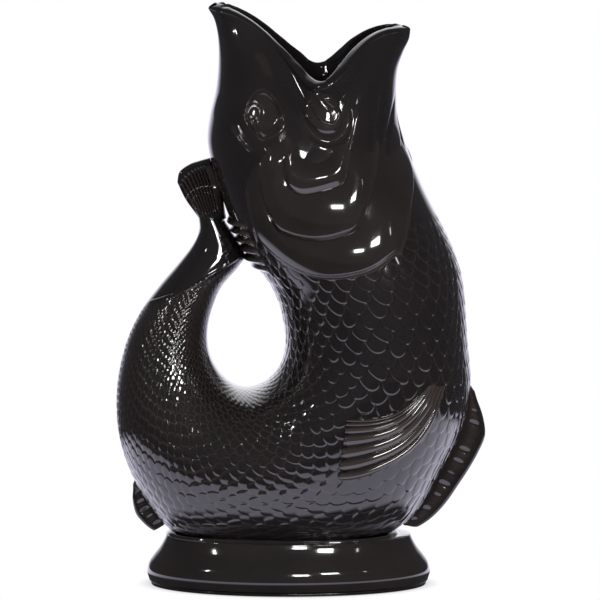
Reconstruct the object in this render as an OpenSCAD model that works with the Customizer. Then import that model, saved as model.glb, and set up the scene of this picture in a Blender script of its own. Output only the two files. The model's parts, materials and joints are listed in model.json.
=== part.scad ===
// A jug in the shape of a fish standing on its belly: the mouth pours and the tail loop is the handle.
// Frame: millimetres, +Z up, origin under the middle of the jug's length on the table.
// The spout jaw points to +X, the tail loop to -X, and the fish's left flank faces +Y.

/* [Body] */
// Height from the table to the top of the upper jaw
jug_height = 245; // [180:5:300]
// Length from the outside of the tail loop to the belly fin
jug_length = 154; // [114:2:190]
// Widest measure across the belly
jug_depth = 107.6; // [80:0.4:132]
// Thickness of the cast wall
wall = 4.5; // [3.4:0.1:5.5]

/* [Foot] */
// Length of the foot at its widest
foot_length = 118.4; // [88:0.4:145]
// Depth of the foot at its widest
foot_depth = 90; // [67:0.5:110]
// Height of the foot up to the line where the body sits in it
foot_height = 22.6; // [17:0.1:27]
// Height of the unglazed ring that stands on the table
ring_height = 1.5; // [1:0.1:2.2]

/* [Reliefs] */
// How far the gill cover stands off the body at its free edge
gill_rise = 2.6; // [1.8:0.1:3.4]
// How far the outer cheek plate stands off the body
cheek_rise = 3.4; // [2.4:0.1:4.4]
// How far the inner cheek plate stands off the body
inner_cheek_rise = 4.1; // [2.8:0.1:5.2]
// How far the fold at the corner of the mouth stands off the head
corner_rise = 2.8; // [2:0.1:3.8]
// How far the ring round the eye stands off the head
eye_ring_rise = 1.6; // [1.2:0.1:2.4]
// How far the eyeball stands off the head
eye_rise = 2.4; // [1.6:0.1:3.4]
// How far a side fin's webs stand off the belly
fin_web_rise = 1.6; // [1.2:0.1:2.4]
// How much further its rays stand off
fin_ray_rise = 1.4; // [0.8:0.1:2]
// Number of rays in each side fin
fin_rays = 7; // [5:1:9]

/* [Fins] */
// Thickness of the belly and anal fins where they join the body
keel_fin_root = 6; // [4:0.5:8]
// Thickness of the belly and anal fins at the free edge
keel_fin_edge = 3; // [2:0.2:4]
// Height of the belly fin at its highest
belly_fin_height = 10; // [7:0.2:12.6]
// Height of the anal fin at its highest
anal_fin_height = 6.8; // [5:0.2:9]
// Thickness of the tail fin
tail_fin_thick = 3.6; // [2.6:0.1:4.6]
// Rise of the spines down the back of the fish
spine_rise = 1.7; // [1.2:0.1:1.9]
// Number of spines
spines = 6; // [4:1:8]

/* [Hidden] */

glaze = [0.09, 0.08, 0.08];
bare_clay = [0.72, 0.66, 0.58];

full_turn = 360;
half_turn = 180;
quarter_turn = 90;
half = 0.5;
// Gap left between neighbouring pieces, where the real jug has glaze and slip
seat_gap = jug_height / 1225;
// Small inward step that stands for a rounded arris
arris = jug_height / 350;

// Stations down the fish from the mouth, round the belly and up the tail. Each row gives, in shares:
// back point X and Z, belly point X and Z, half depth, squareness, where the widest point lies,
// how far the flanks sag below the line between the two points, and how much of the mouth's plan it has.
STATION_SHARES = [
  [-0.2481, 0.9878, 0.2994, 0.9512, 0.771, 2.20, 0.555, 0.1000, 1.00],
  [-0.2312, 0.9673, 0.2948, 0.9347, 0.753, 2.10, 0.555, 0.0980, 0.85],
  [-0.2221, 0.9347, 0.2792, 0.9122, 0.743, 2.10, 0.550, 0.0918, 0.55],
  [-0.2214, 0.8939, 0.2649, 0.8837, 0.766, 2.10, 0.540, 0.0796, 0.22],
  [-0.2286, 0.8490, 0.2610, 0.8449, 0.799, 2.15, 0.520, 0.0612, 0.05],
  [-0.2442, 0.8061, 0.2656, 0.8020, 0.829, 2.20, 0.510, 0.0408, 0.00],
  [-0.2513, 0.7633, 0.2838, 0.7612, 0.855, 2.20, 0.500, 0.0224, 0.00],
  [-0.2390, 0.7204, 0.3078, 0.7204, 0.879, 2.20, 0.500, 0.0082, 0.00],
  [-0.2182, 0.6796, 0.3351, 0.6796, 0.903, 2.20, 0.500, 0.0000, 0.00],
  [-0.1942, 0.6347, 0.3675, 0.6388, 0.926, 2.20, 0.500, 0.0000, 0.00],
  [-0.1591, 0.5918, 0.3981, 0.6020, 0.944, 2.20, 0.500, 0.0000, 0.00],
  [-0.1175, 0.5469, 0.4247, 0.5633, 0.963, 2.20, 0.500, 0.0000, 0.00],
  [-0.0831, 0.5167, 0.4435, 0.5204, 0.978, 2.20, 0.500, 0.0000, 0.00],
  [-0.0571, 0.4796, 0.4519, 0.4673, 0.989, 2.20, 0.500, 0.0000, 0.00],
  [-0.0429, 0.4347, 0.4571, 0.4102, 0.996, 2.20, 0.500, 0.0000, 0.00],
  [-0.0448, 0.3971, 0.4649, 0.3469, 1.000, 2.20, 0.500, 0.0000, 0.00],
  [-0.0636, 0.3673, 0.4468, 0.2755, 0.996, 2.20, 0.500, 0.0000, 0.00],
  [-0.0922, 0.3486, 0.3857, 0.1959, 0.978, 2.20, 0.500, 0.0000, 0.00],
  [-0.1208, 0.3396, 0.2916, 0.1082, 0.939, 2.20, 0.500, 0.0000, 0.00],
  [-0.1494, 0.3367, 0.1130, 0.0592, 0.888, 2.20, 0.500, 0.0000, 0.00],
  [-0.1766, 0.3412, -0.1338, 0.0571, 0.840, 2.20, 0.500, 0.0000, 0.00],
  [-0.2026, 0.3527, -0.3286, 0.0837, 0.777, 2.20, 0.500, 0.0000, 0.00],
  [-0.2247, 0.3690, -0.4357, 0.1612, 0.697, 2.20, 0.500, 0.0000, 0.00],
  [-0.2416, 0.3898, -0.4890, 0.2449, 0.610, 2.20, 0.500, 0.0000, 0.00],
  [-0.2506, 0.4163, -0.4994, 0.3265, 0.524, 2.20, 0.500, 0.0000, 0.00],
  [-0.2487, 0.4469, -0.4792, 0.4020, 0.450, 2.20, 0.500, 0.0000, 0.00],
  [-0.2351, 0.4796, -0.4377, 0.4633, 0.387, 2.20, 0.500, 0.0000, 0.00],
  [-0.2117, 0.5122, -0.3818, 0.5122, 0.335, 2.20, 0.500, 0.0000, 0.00],
  [-0.1640, 0.5480, -0.3286, 0.5518, 0.294, 2.20, 0.500, 0.0000, 0.00],
  [-0.1500, 0.5680, -0.2909, 0.5829, 0.260, 2.20, 0.500, 0.0000, 0.00],
  [-0.1800, 0.6010, -0.2740, 0.6090, 0.230, 2.20, 0.500, 0.0000, 0.00],
  [-0.2078, 0.6286, -0.2760, 0.6318, 0.204, 2.20, 0.500, 0.0000, 0.00],
];
last_station = len(STATION_SHARES) - 1;
// Where the head casting ends, where the tail casting begins, and where the tail's hollow ends
neck_share = 0.29;
tail_share = 0.742;
tail_hollow_share = 0.935;
neck_station = round(neck_share * last_station);
tail_station = round(tail_share * last_station);
tail_hollow_station = round(tail_hollow_share * last_station);

// Half width of the mouth seen from above, at even steps from the upper jaw's tip to the lower jaw's
MOUTH_PLAN_SHARES = [
  [0], [0.2], [0.265], [0.31], [0.355], [0.405], [0.465], [0.545], [0.65], [0.78], [0.9], [0.98],
  [1], [0.93], [0.77], [0.59], [0.455], [0.36], [0.285], [0.205], [0],
];
// How deep the rim lies between the jaws, at the same steps
DIP_SHARES = [
  [0], [0], [0.01], [0.05], [0.12], [0.21], [0.33], [0.49], [0.675], [0.86], [0.975], [1],
  [0.93], [0.77], [0.56], [0.36], [0.21], [0.115], [0.05], [0.015], [0],
];

// Points round each casting, rings between stations outside and inside, steps round the lip
round_points = 56;
outer_steps = 2;
lip_steps = 5;

// Outlines on the flank: angle from the back as a share of a half turn, then place along the stations
GILL_EDGE_SHARES = [
  [0.239, 0.230], [0.224, 0.266], [0.232, 0.294], [0.244, 0.322], [0.307, 0.344], [0.377, 0.355],
  [0.455, 0.356], [0.542, 0.350], [0.618, 0.337], [0.691, 0.319], [0.798, 0.272], [0.880, 0.240],
  [0.950, 0.206], [0.965, 0.176],
];
CHEEK_EDGE_SHARES = [
  [0.343, 0.183], [0.339, 0.214], [0.314, 0.249], [0.314, 0.280], [0.336, 0.299], [0.422, 0.309],
  [0.512, 0.304], [0.592, 0.288], [0.703, 0.231], [0.789, 0.181],
];
INNER_EDGE_SHARES = [
  [0.437, 0.138], [0.434, 0.186], [0.416, 0.224], [0.419, 0.240], [0.454, 0.248], [0.527, 0.241],
  [0.595, 0.229], [0.644, 0.194], [0.669, 0.167],
];
INNER_ROOT_SHARES = [
  [0.490, 0.145], [0.500, 0.155], [0.515, 0.160], [0.545, 0.162], [0.580, 0.160], [0.605, 0.152],
];
CORNER_SHARES = [
  [0.472, 0.040], [0.540, 0.034], [0.600, 0.060], [0.644, 0.115], [0.648, 0.140], [0.619, 0.150],
  [0.569, 0.136], [0.521, 0.111], [0.489, 0.096], [0.466, 0.074],
];
corner_centre_share = [0.556, 0.090];
EYE_RING_SHARES = [
  [0.269, 0.145], [0.290, 0.118], [0.334, 0.104], [0.378, 0.104], [0.411, 0.115], [0.415, 0.137],
  [0.390, 0.158], [0.355, 0.167], [0.310, 0.165],
];
EYE_SHARES = [
  [0.297, 0.141], [0.310, 0.125], [0.334, 0.115], [0.360, 0.115], [0.380, 0.122], [0.382, 0.134],
  [0.365, 0.146], [0.344, 0.152], [0.315, 0.151],
];
eye_centre_share = [0.338, 0.133];
PECTORAL_EDGE_SHARES = [[0.437, 0.531], [0.459, 0.546], [0.483, 0.562], [0.508, 0.575], [0.541, 0.585]];
PECTORAL_WAIST_SHARES = [[0.558, 0.514], [0.585, 0.521], [0.614, 0.528], [0.646, 0.534], [0.678, 0.538]];
PECTORAL_ROOT_SHARES = [[0.689, 0.480], [0.706, 0.480], [0.723, 0.481], [0.741, 0.481], [0.760, 0.480]];
// Run of the spines down the back, and how far round the back they reach on each side
dorsal_start_share = 0.290;
dorsal_end_share = 0.356;
dorsal_reach_share = 0.17;
// Where the two fins on the keel start, their profiles in shares of each fin's own height,
// and how far above the foot they stop, as a share of the jug's height
belly_fin_start_share = 0.487;
BELLY_FIN_SHARES = [0.1, 0.33, 0.68, 0.98, 1, 0.97, 0.92, 0.83, 0.64, 0.36];
anal_fin_start_share = 0.716;
ANAL_FIN_SHARES = [0.1, 0.35, 0.66, 0.87, 1, 0.97, 0.88, 0.72];
keel_fin_clear_share = 0.0105;
// Margin, waist and root of the tail fin from its outer ray to the one at the head, in shares of length and height
TAIL_MARGIN_SHARES = [
  [-0.3335, 0.6906], [-0.3265, 0.7085], [-0.2990, 0.7215], [-0.2720, 0.7275], [-0.2452, 0.7322],
];
TAIL_WAIST_SHARES = [
  [-0.3104, 0.6630], [-0.2915, 0.6720], [-0.2700, 0.6780], [-0.2470, 0.6815], [-0.2222, 0.6820],
];
TAIL_ROOT_SHARES = [
  [-0.2790, 0.6340], [-0.2610, 0.6340], [-0.2430, 0.6340], [-0.2250, 0.6340], [-0.2070, 0.6340],
];
// Side of the foot: how far its outline is drawn in and how high, as shares of its own size
FOOT_SIDE_SHARES = [
  [0.984, 0.08], [1, 0.24], [0.985, 0.41], [0.95, 0.55], [0.906, 0.70], [0.876, 0.84], [0.862, 0.93],
];
FOOT_INSIDE_SHARES = [[0.86, 0.56], [0.885, 0.3], [0.905, 0.08]];
foot_centre_share = -0.0312;
foot_seat_share = 0.79;
ring_outer_share = 0.972;
ring_inner_share = 0.905;

// Weights of a smooth curve through four neighbouring rows
SPLINE_SHARES = [[0, 2, 0, 0], [-1, 0, 1, 0], [2, -5, 4, -1], [-1, 3, -3, 1]] * half;

function mix(a, b, f) = a + (b - a) * f;

function row_at(table, place) =
  let (last = len(table) - 1, low = max(0, min(floor(place), last - 1)), f = place - low)
  let (before = low > 0 ? table[low - 1] : 2 * table[0] - table[1])
  let (after = low + 1 < last ? table[low + 2] : 2 * table[last] - table[last - 1])
  [1, f, f * f, f * f * f] * SPLINE_SHARES * [before, table[low], table[low + 1], after];

function share_row(table, share) = row_at(table, share * (len(table) - 1));

// Half width of a cross-section at place u between back and belly
function plan_at(u) = max(0, share_row(MOUTH_PLAN_SHARES, u)[0]);

function bulge(u, station) =
  let (widest = station[6], away = u < widest ? (widest - u) / widest : (u - widest) / (1 - widest))
  let (square = station[5], oval = pow(max(0, 1 - pow(min(1, away), square)), 1 / square))
  mix(oval, plan_at(u), max(0, station[8]));

function dip(u, station) = station[7] * share_row(DIP_SHARES, u)[0];

// A point of the skin: angle round the body and a station's row
function skin_point(angle, station) =
  let (back = [station[0] * jug_length, station[1] * jug_height])
  let (belly = [station[2] * jug_length, station[3] * jug_height])
  let (u = (1 - cos(angle)) * half, p = mix(back, belly, u), side = sin(angle) < 0 ? -1 : 1)
  let (y = station[4] * jug_depth * half * bulge(u, station))
  [p[0], side * y, p[1] - dip(u, station) * jug_height];

function station_at(place) = row_at(STATION_SHARES, place);

// A point of the skin, its outward normal and the way towards the mouth along the skin
probe_turn_share = 0.008;
probe_run_share = 0.002;
turn_step = probe_turn_share * half_turn;
place_step = probe_run_share * last_station;
function skin_frame(angle, place) =
  let (here = station_at(place), p = skin_point(angle, here))
  let (round = skin_point(angle + turn_step, here) - skin_point(angle - turn_step, here))
  let (run = skin_point(angle, station_at(place + place_step)) - skin_point(angle, station_at(place - place_step)))
  let (normal = cross(round, run))
  [p, normal / norm(normal), -run / norm(run)];

function skin_ring(place) =
  let (here = station_at(place))
  [for (i = [0:round_points - 1]) skin_point(i * full_turn / round_points, here)];

function deep_ring(place, inward, upward = 0) =
  [for (i = [0:round_points - 1]) let (f = skin_frame(i * full_turn / round_points, place))
    f[0] - f[1] * inward + f[2] * upward];

// A point off the skin along its normal: half-turn share, share along the stations, distance
function off_skin(spot, out, side = 1) =
  let (f = skin_frame(side * spot[0] * half_turn, spot[1] * last_station))
  f[0] + f[1] * out;

// Solids from rings and loops
function flat_list(lists) = [for (l = lists) for (x = l) x];

function band_faces(low, high, n) =
  [for (i = [0:n - 1]) let (j = (i + 1) % n) each [[low + i, high + i, high + j], [low + i, high + j, low + j]]];

function cap_strip(first, n) =
  [for (i = [0:n / 2 - 2]) let (a = first + i, b = first + n - 1 - i)
    each [[a, a + 1, b - 1], [a, b - 1, b]]];

function turned(faces, flip) = flip ? [for (f = faces) [f[0], f[2], f[1]]] : faces;

module loop_solid(loops, closed, flip = false) {
  n = len(loops[0]);
  count = len(loops);
  sides = [for (k = [0:count - (closed ? 1 : 2)]) each band_faces(k * n, ((k + 1) % count) * n, n)];
  ends = closed ? [] : concat(cap_strip(0, n), turned(cap_strip((count - 1) * n, n), true));
  polyhedron(points = flat_list(loops), faces = turned(concat(sides, ends), !flip));
}

module spindle_solid(first, rings, last, flip = false) {
  n = len(rings[0]);
  count = len(rings);
  top = count * n;
  sides = [for (k = [0:count - 2]) each band_faces(k * n, (k + 1) * n, n)];
  start = [for (i = [0:n - 1]) [top, i, (i + 1) % n]];
  end = [for (i = [0:n - 1]) [top + 1, (count - 1) * n + (i + 1) % n, (count - 1) * n + i]];
  polyhedron(points = concat(flat_list(rings), [first, last]), faces = turned(concat(sides, start, end), !flip));
}

// Castings
function outer_rings(from, to) =
  [for (k = [0:(to - from) * outer_steps]) skin_ring(from + k / outer_steps)];

function inner_rings(from, to) =
  [for (k = [to:-1:from]) deep_ring(k, wall)];

function lip_rings() =
  [for (k = [lip_steps:-1:1]) let (turn = half_turn * k / (lip_steps + 1))
    deep_ring(0, wall * half * (1 - cos(turn)), wall * half * sin(turn))];

module head_casting() {
  color(glaze)
    loop_solid(concat(outer_rings(0, neck_station), inner_rings(0, neck_station), lip_rings()), closed = true,
      flip = true);
}

module body_casting() {
  color(glaze)
    loop_solid(concat(outer_rings(neck_station, tail_station), inner_rings(neck_station, tail_station)),
      closed = true, flip = true);
}

function ring_middle(ring) = (ring[0] + ring[round_points / 2]) * half;

module tail_casting() {
  outer = outer_rings(tail_station, last_station);
  inner = inner_rings(tail_station, tail_hollow_station);
  rings = concat([for (k = [len(outer) - 1:-1:0]) outer[k]], [for (k = [len(inner) - 1:-1:0]) inner[k]]);
  color(glaze)
    spindle_solid(ring_middle(rings[0]), rings, ring_middle(rings[len(rings) - 1]));
}

// Foot
search_steps = 18;
function miss(x, z, place) =
  let (s = station_at(place), back = [s[0] * jug_length, s[1] * jug_height])
  let (belly = [s[2] * jug_length, s[3] * jug_height])
  (belly[0] - back[0]) * (z - back[1]) - (belly[1] - back[1]) * (x - back[0]);

function place_of(x, z, low, high, n) =
  let (middle = (low + high) * half)
  n == 0 ? middle
    : miss(x, z, low) * miss(x, z, middle) <= 0 ? place_of(x, z, low, middle, n - 1)
    : place_of(x, z, middle, high, n - 1);

function keel_place(z, low, high, n) =
  let (middle = (low + high) * half, rising = station_at(high)[3] > station_at(low)[3])
  n == 0 ? middle
    : (station_at(middle)[3] * jug_height > z) == rising ? keel_place(z, low, middle, n - 1)
    : keel_place(z, middle, high, n - 1);

// Runs of stations in which the keel crosses the foot, on the belly side and on the tail side
KEEL_BELLY_SHARES = [0.516, 0.613];
KEEL_TAIL_SHARES = [0.645, 0.742];
keel_belly = KEEL_BELLY_SHARES * last_station;
keel_tail = KEEL_TAIL_SHARES * last_station;
function keel_x(z, span) = station_at(keel_place(z, span[0], span[1], search_steps))[2] * jug_length;

// Outline of the body at one height, seen from above
function body_outline(z) =
  let (front = keel_x(z, keel_belly), rear = keel_x(z, keel_tail))
  let (centre = (front + rear) * half, reach = (front - rear) * half)
  [for (i = [0:round_points - 1]) let (angle = i * full_turn / round_points, x = centre + reach * cos(angle))
    let (s = station_at(place_of(x, z, keel_belly[0], keel_tail[1], search_steps)))
    let (back = [s[0] * jug_length, s[1] * jug_height], belly = [s[2] * jug_length, s[3] * jug_height])
    let (u = min(1, norm([x, z] - back) / norm(belly - back)))
    [x, (sin(angle) < 0 ? -1 : 1) * s[4] * jug_depth * half * bulge(u, s), z]];

function grown(ring, out) =
  [for (p = ring) let (away = [p[0] - foot_centre, p[1], 0]) p + away / norm(away) * out];

foot_centre = foot_centre_share * jug_length;
seat_clearance = 2 * seat_gap;
function foot_ring_at(share, z) =
  [for (i = [0:round_points - 1]) let (angle = i * full_turn / round_points)
    [foot_centre + share * foot_length * half * cos(angle), share * foot_depth * half * sin(angle), z]];

module foot() {
  side = [for (s = FOOT_SIDE_SHARES) foot_ring_at(s[0], max(ring_height, s[1] * foot_height))];
  inside = [for (s = FOOT_INSIDE_SHARES) foot_ring_at(s[0], max(ring_height, s[1] * foot_height))];
  seat_top = grown(body_outline(foot_height), seat_clearance);
  seat_low = grown(body_outline(foot_height * foot_seat_share), seat_clearance);
  color(glaze)
    loop_solid(concat(side, [grown(seat_top, arris), seat_top, seat_low], inside), closed = true, flip = true);
}

module foot_ring() {
  rings = [
    foot_ring_at(ring_outer_share, 0), foot_ring_at(ring_outer_share, ring_height),
    foot_ring_at(ring_inner_share, ring_height), foot_ring_at(ring_inner_share, 0),
  ];
  color(bare_clay)
    loop_solid(rings, closed = true, flip = true);
}

// Plates that lie on the flank, thick at the free edge and thin where they grow out of the head
plate_columns = 26;
PLATE_PROFILE_SHARES = [[0, 0.35], [0.04, 0.85], [0.12, 1], [0.4, 0.97], [0.7, 0.93], [0.94, 0.9], [1, 0.72]];
THIN_PROFILE_SHARES = [[0, 0.35], [0.05, 0.85], [0.14, 1], [0.4, 0.9], [0.65, 0.66], [0.85, 0.4], [1, 0.16]];
fade_run_share = 0.22;
fade_floor_share = 0.1;
band_stop_share = 0.985;
function fade(a) =
  let (near = min(1, min(a, 1 - a) / fade_run_share), ease = near * near * (3 - 2 * near))
  fade_floor_share + (1 - fade_floor_share) * ease;

function plate_loop(edge, root, rise, profile, a, side) =
  let (e = share_row(edge, a), r = share_row(root, a))
  concat(
    [for (p = profile) off_skin(mix(e, r, p[0] * band_stop_share), seat_gap, side)],
    [for (k = [len(profile) - 1:-1:0]) let (p = profile[k])
      off_skin(mix(e, r, p[0] * band_stop_share), seat_gap + rise * p[1] * fade(a), side)]);

module plate(edge, root, rise, profile, side) {
  loops = [for (i = [0:plate_columns]) plate_loop(edge, root, rise, profile, i / plate_columns, side)];
  color(glaze)
    loop_solid(loops, closed = false, flip = side < 0);
}

module gill_cover(side) {
  plate(GILL_EDGE_SHARES, CHEEK_EDGE_SHARES, gill_rise, PLATE_PROFILE_SHARES, side);
}

module cheek_plate(side) {
  plate(CHEEK_EDGE_SHARES, INNER_EDGE_SHARES, cheek_rise, PLATE_PROFILE_SHARES, side);
}

module inner_cheek(side) {
  plate(INNER_EDGE_SHARES, INNER_ROOT_SHARES, inner_cheek_rise, THIN_PROFILE_SHARES, side);
}

// Domes and rings on the flank
dome_points = 28;
DOME_PROFILE_SHARES = [[0, 0.3], [0.08, 0.55], [0.25, 0.8], [0.5, 0.95], [0.8, 1]];
function round_row(table, share) =
  let (n = len(table), place = share * n, low = floor(place), f = place - low)
  [1, f, f * f, f * f * f] * SPLINE_SHARES
    * [table[(low + n - 1) % n], table[low % n], table[(low + 1) % n], table[(low + 2) % n]];

function dome_ring(outline, centre, inward, out, side) =
  [for (i = [0:dome_points - 1]) off_skin(mix(round_row(outline, i / dome_points), centre, inward), out, side)];

module dome(outline, centre, rise, side) {
  bottom = [for (k = [len(DOME_PROFILE_SHARES) - 1:-1:0]) let (p = DOME_PROFILE_SHARES[k])
    dome_ring(outline, centre, p[0], seat_gap, side)];
  top = [for (p = DOME_PROFILE_SHARES) dome_ring(outline, centre, p[0], seat_gap + rise * p[1], side)];
  color(glaze)
    spindle_solid(off_skin(centre, seat_gap, side), concat(bottom, top), off_skin(centre, seat_gap + rise, side),
      flip = side > 0);
}

RING_PROFILE_SHARES = [[0, 0.3], [0.3, 0.85], [0.6, 1], [0.85, 0.8], [1, 0.35]];
eye_margin_share = 0.94;
module eye_ring(side) {
  loops = [for (i = [0:dome_points - 1]) let (a = i / dome_points)
    let (outer = round_row(EYE_RING_SHARES, a), inner = mix(outer, round_row(EYE_SHARES, a), eye_margin_share))
    concat(
      [for (p = RING_PROFILE_SHARES) off_skin(mix(outer, inner, p[0]), seat_gap, side)],
      [for (k = [len(RING_PROFILE_SHARES) - 1:-1:0]) let (p = RING_PROFILE_SHARES[k])
        off_skin(mix(outer, inner, p[0]), seat_gap + eye_ring_rise * p[1], side)])];
  color(glaze)
    loop_solid(loops, closed = true, flip = side > 0);
}

module eye(side) {
  dome(EYE_SHARES, eye_centre_share, eye_rise, side);
}

module mouth_corner(side) {
  dome(CORNER_SHARES, corner_centre_share, corner_rise, side);
}

// Side fins: rays fan out from the root, and the free edge stands proud
samples_per_ray = 4;
FIN_RUN_SHARES = [[0, 0.5], [0.04, 0.95], [0.15, 1], [0.35, 0.95], [0.55, 0.85], [0.75, 0.65], [0.9, 0.42], [1, 0.25]];
function fin_spot(a, b) =
  let (e = share_row(PECTORAL_EDGE_SHARES, a), w = share_row(PECTORAL_WAIST_SHARES, a))
  let (r = share_row(PECTORAL_ROOT_SHARES, a))
  row_at([e, w, r], 2 * b);

module pectoral_fin(side) {
  columns = fin_rays * samples_per_ray;
  loops = [for (i = [0:columns]) let (a = i / columns, ray = pow(abs(sin(half_turn * fin_rays * a)), 2))
    concat(
      [for (p = FIN_RUN_SHARES) off_skin(fin_spot(a, p[0]), seat_gap, side)],
      [for (k = [len(FIN_RUN_SHARES) - 1:-1:0]) let (p = FIN_RUN_SHARES[k])
        off_skin(fin_spot(a, p[0]), seat_gap + (fin_web_rise + fin_ray_rise * ray) * p[1], side)])];
  color(glaze)
    loop_solid(loops, closed = false, flip = side < 0);
}

// Fins on the keel: a ridge that stands straight out of the belly line
keel_columns = 22;
FIN_SECTION_SHARES = [[-1, 0], [-0.95, 0.5], [-0.75, 0.9], [-0.3, 1], [0.3, 1], [0.75, 0.9], [0.95, 0.5], [1, 0]];
function keel_loop(place, height) =
  let (here = off_skin([1, place], seat_gap), out = off_skin([1, place], seat_gap + height) - here)
  [for (s = FIN_SECTION_SHARES) here + out * s[1] + [0, s[0] * half * mix(keel_fin_root, keel_fin_edge, s[1]), 0]];

module keel_fin(start, end, height, profile, flip) {
  loops = [for (i = [0:keel_columns]) let (a = i / keel_columns)
    keel_loop(mix(start, end, a), height * max(0.05, share_row([for (p = profile) [p]], a)[0]))];
  color(glaze)
    loop_solid(loops, closed = false, flip = flip);
}

// Where a keel fin stops above the foot, as a share along the stations
function fin_stop_share(span) =
  keel_place(foot_height + keel_fin_clear_share * jug_height, span[0], span[1], search_steps) / last_station;

module belly_fin() {
  keel_fin(belly_fin_start_share, fin_stop_share(keel_belly), belly_fin_height, BELLY_FIN_SHARES, false);
}

module anal_fin() {
  keel_fin(anal_fin_start_share, fin_stop_share(keel_tail), anal_fin_height, ANAL_FIN_SHARES, true);
}

// Spines: low ribs that wrap the back behind the head
dorsal_points = 14;
samples_per_spine = 5;
web_share = 0.4;
// Rise along the row of spines: the lower ones close the gap above the finger hole
SPINE_RUN_SHARES = [[0.7], [0.9], [1], [1.05], [1.2], [1.45], [1.1], [0.4]];
module dorsal_fin() {
  rows = spines * samples_per_spine;
  loops = [for (i = [0:rows]) let (a = i / rows, rib = pow(abs(sin(half_turn * spines * a)), 2))
    let (place = mix(dorsal_start_share, dorsal_end_share, a))
    let (rise = spine_rise * mix(web_share, 1, rib) * share_row(SPINE_RUN_SHARES, a)[0])
    concat(
      [for (k = [0:dorsal_points]) let (s = 2 * k / dorsal_points - 1) off_skin([s * dorsal_reach_share, place], seat_gap)],
      [for (k = [dorsal_points:-1:0]) let (s = 2 * k / dorsal_points - 1, end = max(0, 1 - s * s))
        off_skin([s * dorsal_reach_share, place], seat_gap + rise * mix(0.3, 1, end))])];
  color(glaze)
    loop_solid(loops, closed = false);
}

// Tail fin: an upright fan in the plane of symmetry, as thick as the tail at its root
fan_rays = 9;
samples_per_fan_ray = 4;
fan_rows = 5;
fan_ray_share = 0.14;
fan_root_share = 0.72;
fan_edge_share = 0.34;
function fan_spot(a, b) =
  let (p = row_at([share_row(TAIL_ROOT_SHARES, a), share_row(TAIL_WAIST_SHARES, a),
    share_row(TAIL_MARGIN_SHARES, a)], 2 * b))
  [p[0] * jug_length, p[1] * jug_height];

// Half the thickness: a lens at the root that thins towards the margin
function fan_half(a, b) =
  let (lens = sqrt(max(0, 1 - pow(2 * a - 1, 2))), root = fan_root_share * station_at(last_station)[4] * jug_depth * half)
  let (ray = 1 + fan_ray_share * cos(full_turn * fan_rays * a))
  mix(root * mix(fan_edge_share, 1, lens), tail_fin_thick * half, sqrt(b)) * ray;

module tail_fin() {
  columns = fan_rays * samples_per_fan_ray;
  loops = [for (i = [0:columns]) let (a = i / columns)
    concat(
      [for (k = [0:fan_rows]) let (b = k / fan_rows, p = fan_spot(a, b)) [p[0], -fan_half(a, b), p[1] + seat_gap]],
      [for (k = [fan_rows:-1:0]) let (b = k / fan_rows, p = fan_spot(a, b)) [p[0], fan_half(a, b), p[1] + seat_gap]])];
  color(glaze)
    loop_solid(loops, closed = false);
}

head_casting();
body_casting();
tail_casting();
foot();
foot_ring();
tail_fin();
dorsal_fin();
belly_fin();
anal_fin();
pectoral_fin(1);  // pectoral_fin_left
pectoral_fin(-1);  // pectoral_fin_right
gill_cover(1);  // gill_cover_left
gill_cover(-1);  // gill_cover_right
cheek_plate(1);  // cheek_plate_left
cheek_plate(-1);  // cheek_plate_right
inner_cheek(1);  // inner_cheek_left
inner_cheek(-1);  // inner_cheek_right
mouth_corner(1);  // mouth_corner_left
mouth_corner(-1);  // mouth_corner_right
eye_ring(1);  // eye_ring_left
eye_ring(-1);  // eye_ring_right
eye(1);  // eye_left
eye(-1);  // eye_right
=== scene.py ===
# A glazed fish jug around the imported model: high resolution castings with scales, plates, fins and glaze.
import json
import math

import bmesh
import bpy
import numpy as np
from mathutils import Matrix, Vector

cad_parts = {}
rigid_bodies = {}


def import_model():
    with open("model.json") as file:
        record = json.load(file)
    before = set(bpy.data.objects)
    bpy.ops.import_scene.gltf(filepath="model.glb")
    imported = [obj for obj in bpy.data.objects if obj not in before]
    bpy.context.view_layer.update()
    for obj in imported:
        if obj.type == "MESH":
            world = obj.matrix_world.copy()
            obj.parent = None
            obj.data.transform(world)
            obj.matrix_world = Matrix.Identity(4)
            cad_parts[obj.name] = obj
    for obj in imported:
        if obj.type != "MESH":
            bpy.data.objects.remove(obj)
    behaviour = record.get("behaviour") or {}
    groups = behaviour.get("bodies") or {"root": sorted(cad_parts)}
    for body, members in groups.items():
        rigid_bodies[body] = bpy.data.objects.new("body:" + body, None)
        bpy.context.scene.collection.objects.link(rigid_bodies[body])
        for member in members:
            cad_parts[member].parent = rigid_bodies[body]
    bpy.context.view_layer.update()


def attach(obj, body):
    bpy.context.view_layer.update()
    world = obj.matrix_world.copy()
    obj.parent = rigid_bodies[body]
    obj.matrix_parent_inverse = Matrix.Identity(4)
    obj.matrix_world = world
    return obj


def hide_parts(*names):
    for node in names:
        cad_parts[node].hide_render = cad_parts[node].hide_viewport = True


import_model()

# Driving sizes in millimetres, as in the solid model
MM = 0.001
HEIGHT = 245.0
LENGTH = 154.0
DEPTH = 107.6
WALL = 4.5
FOOT_LENGTH = 118.4
FOOT_DEPTH = 90.0
FOOT_HEIGHT = 22.6
RING_HEIGHT = 1.5

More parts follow.
